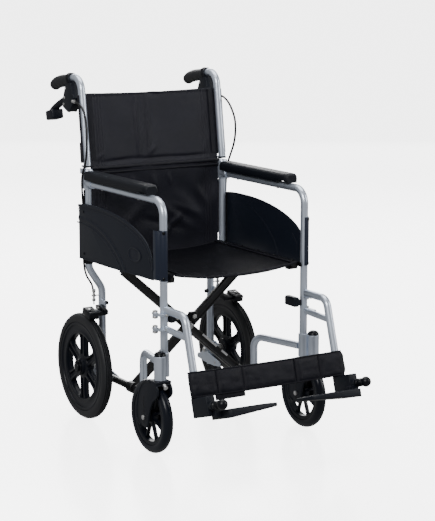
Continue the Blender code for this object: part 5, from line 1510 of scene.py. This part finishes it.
def make_calf_strap():
    """Padded calf strap in five panels, looped round both hanger tubes."""
    radius = 0.0142
    tall = 0.0655
    section = [(0.1960, -0.0122), (0.2080, -0.0136)]
    section += [(POST_X + radius * math.sin(math.radians(a)), -radius * math.cos(math.radians(a)))
                for a in range(10, 171, 16)]
    section += [(0.2080, 0.0140), (0.1900, 0.0138)]
    lengths = run_lengths(section)
    wrap, flat = lengths[-1], 2 * 0.1900
    width = 2 * wrap + flat
    middle = HANGER_TOP + HANGER_DOWN * 0.1765

    def spot(along):
        """Place across and ahead of the tubes, at a length measured from the strap's middle."""
        side, far = math.copysign(1, along), abs(along)
        if far <= flat / 2:
            return along, 0.0138
        back = wrap - min(wrap, far - flat / 2)
        x, ahead = along_section(section, lengths, back)
        return side * x, ahead

    def puff(along, down):
        near = min(abs(along - line) for line in STRAP_LINES)
        seam = 1 - math.exp(-(near / 0.006) ** 2)
        edge = 1 - min(1, abs(down) / (tall / 2)) ** 5
        rumple = 0.0014 * wander(along, down, 0.030, 6.0) + 0.0010 * wander(along * 0.7, down, 0.013, 8.0)
        return (0.0052 + rumple) * seam * edge

    def shape(u, v):
        x, ahead = spot(u)
        lift = puff(u, v) if ahead > 0 else 0.3 * puff(u, v)
        if 0.079 < u < 0.155 or -0.164 < u < -0.085:
            lift += 0.0016
        out = Vector((0, 0, 0))
        if abs(x) > POST_X:
            out = Vector((math.copysign(1, x) * (abs(x) - POST_X), 0, 0)) / radius * lift
        sag = 0.0025 * math.cos(math.pi * x / 0.48)
        return middle + Vector((x, 0, 0)) + out + HANGER_AHEAD * (ahead + (lift if ahead > 0 else -lift)) + (
            HANGER_DOWN * (-v + sag))

    bm = bmesh.new()
    cloth(bm, (width, tall), (230, 36), shape)
    thicken(bm, 0.0026)
    item = piece(bm, "calf_pad", look("strap"), "right_frame", ["calf_strap"], sharp=CLOTH_SHARP)
    made = [item]
    bm = bmesh.new()
    for edge in (-1, 1):
        path = []
        for i in range(121):
            u = width * (i / 120 - 0.5)
            path.append(shape(u * 0.999, edge * (tall / 2 - 0.0012)))
        sweep(bm, path, 0.0024, 10)
    for line in STRAP_LINES:
        path = [shape(line, tall * (i / 12 - 0.5) * 0.97) + HANGER_AHEAD * 0.0014 for i in range(13)]
        sweep(bm, path, 0.0012, 8)
    made.append(piece(bm, "calf_binding", look("tape"), "right_frame"))
    bm = bmesh.new()
    flap = Vector((-0.130, 0, 0)) + middle + HANGER_DOWN * (tall / 2 + 0.006) + HANGER_AHEAD * 0.0125
    half = Vector((0.045, 0.0022, 0.0095))
    block(bm, flap - half, flap + half, PLATE_TURN, 0.0018, 3)
    made.append(piece(bm, "calf_flap", look("tape"), "right_frame"))
    for item in made:
        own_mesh(item)


# Stage ------------------------------------------------------------------------------
def area_light(name, place, aim, size, power):
    """Soft rectangular lamp that points at a spot."""
    data = bpy.data.lights.new(name, "AREA")
    data.shape = "RECTANGLE"
    data.size, data.size_y = size
    data.energy = power
    lamp = bpy.data.objects.new(name, data)
    bpy.context.scene.collection.objects.link(lamp)
    lamp.visible_camera = False
    lamp.location = place
    lamp.rotation_euler = (Vector(aim) - Vector(place)).to_track_quat("-Z", "Y").to_euler()


def make_stage():
    """Pale floor, soft lights and the camera."""
    stage = settings("stage")
    bm = bmesh.new()
    bmesh.ops.create_grid(bm, x_segments=1, y_segments=1, size=300.0)
    mesh = bpy.data.meshes.new("floor")
    bm.to_mesh(mesh)
    bm.free()
    floor = bpy.data.objects.new("floor", mesh)
    bpy.context.scene.collection.objects.link(floor)
    paint = Look("studio_floor", tuple(stage.floor), 0.18, 0.0, Specular_IOR_Level=0.30,
                 Emission_Color=(1, 1, 1, 1), Emission_Strength=stage.glow)
    paint.set("Roughness", 0.16 + paint.speckle(3.0) * 0.06)
    mesh.materials.append(paint.material)
    floor.visible_diffuse = False
    floor.visible_glossy = False
    world = bpy.context.scene.world or bpy.data.worlds.new("studio")
    bpy.context.scene.world = world
    world.use_nodes = True
    ground = world.node_tree.nodes["Background"]
    ground.inputs["Color"].default_value = (1.0, 1.0, 1.0, 1.0)
    ground.inputs["Strength"].default_value = 0.35
    key = stage.light
    area_light("key", (-2.6, -2.4, 2.8), (0, 0, 0.45), (1.6, 1.6), key)
    area_light("fill", (2.8, -2.2, 1.9), (0, 0, 0.5), (1.8, 1.8), key * 0.45)
    area_light("top", (0.2, 0.4, 3.2), (0, 0, 0), (2.6, 2.2), key * 0.6)
    area_light("rim", (1.2, 3.0, 2.0), (0, 0, 0.6), (1.6, 1.2), key * 0.4)
    area_light("backdrop", (3.9, 6.0, 1.7), (0, 0, 0.6), (5.0, 2.6), key * 1.3)
    data = bpy.data.cameras.new("camera")
    data.lens = stage.lens
    data.sensor_width = 36.0
    data.sensor_fit = "AUTO"
    camera = bpy.data.objects.new("camera", data)
    bpy.context.scene.collection.objects.link(camera)
    camera.location = (-2.363, AXLE_Y - 4.2332, 1.318)
    camera.rotation_euler = (math.radians(90 - 10.314), 0, math.radians(-31.253))
    bpy.context.scene.camera = camera


# Operators --------------------------------------------------------------------------
def both_sides(*makers):
    for side, s in SIDES:
        for make in makers:
            make(side, s)


class CHAIR_OT_frame(Operator):
    """Make the tubes, brackets and housings of both side frames"""
    bl_idname = "chair.frame"
    bl_label = "Side frames"

    def execute(self, context):
        both_sides(make_front_post, make_rear_tube, make_rear_post, make_lower_tubes, make_axle_plate,
                   make_cradle)
        return {"FINISHED"}


class CHAIR_OT_panels(Operator):
    """Make the side panels with their clips, and the armrest pads"""
    bl_idname = "chair.panels"
    bl_label = "Side panels and pads"

    def execute(self, context):
        both_sides(make_guard, make_arm_pad)
        return {"FINISHED"}


class CHAIR_OT_wheels(Operator):
    """Make the rear wheels and the casters"""
    bl_idname = "chair.wheels"
    bl_label = "Wheels"

    def execute(self, context):
        both_sides(make_rear_wheel, make_caster)
        return {"FINISHED"}


class CHAIR_OT_back(Operator):
    """Make the folding back tubes, grips and catches"""
    bl_idname = "chair.back"
    bl_label = "Back and handles"

    def execute(self, context):
        both_sides(make_back_tube, make_push_grip, make_lock_lever)
        return {"FINISHED"}


class CHAIR_OT_brakes(Operator):
    """Make the brake levers, cables and shoes"""
    bl_idname = "chair.brakes"
    bl_label = "Brakes"

    def execute(self, context):
        both_sides(make_lever_mount, make_brake_lever, make_brake_cable, make_brake_shoe)
        return {"FINISHED"}


class CHAIR_OT_footrests(Operator):
    """Make the hangers, hinge blocks, footplates and latches"""
    bl_idname = "chair.footrests"
    bl_label = "Footrests"

    def execute(self, context):
        both_sides(make_hanger, make_heel, make_footplate, make_release_lever)
        return {"FINISHED"}


class CHAIR_OT_brace(Operator):
    """Make the folding cross brace with its seat rails"""
    bl_idname = "chair.brace"
    bl_label = "Cross brace"

    def execute(self, context):
        make_brace()
        return {"FINISHED"}


class CHAIR_OT_slings(Operator):
    """Make the seat and back slings and the calf strap"""
    bl_idname = "chair.slings"
    bl_label = "Slings and strap"

    def execute(self, context):
        for item in make_back_upper() + make_back_lower():
            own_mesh(item)
        for side, s in SIDES:
            make_sleeve(side, s, "upper_sleeve", 0.7400, 0.9250, BACK_LEAN, side_name(side, "back"))
            make_sleeve(side, s, "lower_sleeve", 0.5000, 0.6600, 0.0, side_name(side, "frame"))
        make_seat()
        make_calf_strap()
        return {"FINISHED"}


class CHAIR_OT_stage(Operator):
    """Make the floor, the lights and the camera"""
    bl_idname = "chair.stage"
    bl_label = "Stage"

    def execute(self, context):
        make_stage()
        return {"FINISHED"}


class CHAIR_PT_panel(Panel):
    """Buttons and settings of the wheelchair"""
    bl_label = "Wheelchair"
    bl_space_type = "VIEW_3D"
    bl_region_type = "UI"
    bl_category = "Wheelchair"

    def draw(self, context):
        for kind in ("frame", "wheel", "soft", "stage"):
            group = settings(kind)
            box = self.layout.box()
            for name in group.__annotations__:
                box.prop(group, name)
        for operator in OPERATORS:
            self.layout.operator(operator.bl_idname)


GROUPS = (("frame", FrameSettings), ("wheel", WheelSettings), ("soft", SoftSettings), ("stage", StageSettings))
OPERATORS = (CHAIR_OT_frame, CHAIR_OT_panels, CHAIR_OT_wheels, CHAIR_OT_back, CHAIR_OT_brakes,
             CHAIR_OT_footrests, CHAIR_OT_brace, CHAIR_OT_slings, CHAIR_OT_stage)


def register():
    for name, group in GROUPS:
        bpy.utils.register_class(group)
        setattr(bpy.types.Scene, "chair_" + name, bpy.props.PointerProperty(type=group))
    for cls in (*OPERATORS, CHAIR_PT_panel):
        bpy.utils.register_class(cls)


def unregister():
    for cls in (CHAIR_PT_panel, *reversed(OPERATORS)):
        bpy.utils.unregister_class(cls)
    for name, group in reversed(GROUPS):
        delattr(bpy.types.Scene, "chair_" + name)
        bpy.utils.unregister_class(group)


def main():
    register()
    for step in ("frame", "panels", "wheels", "back", "brakes", "footrests", "brace", "slings", "stage"):
        getattr(bpy.ops.chair, step)()


if __name__ == "__main__":
    main()
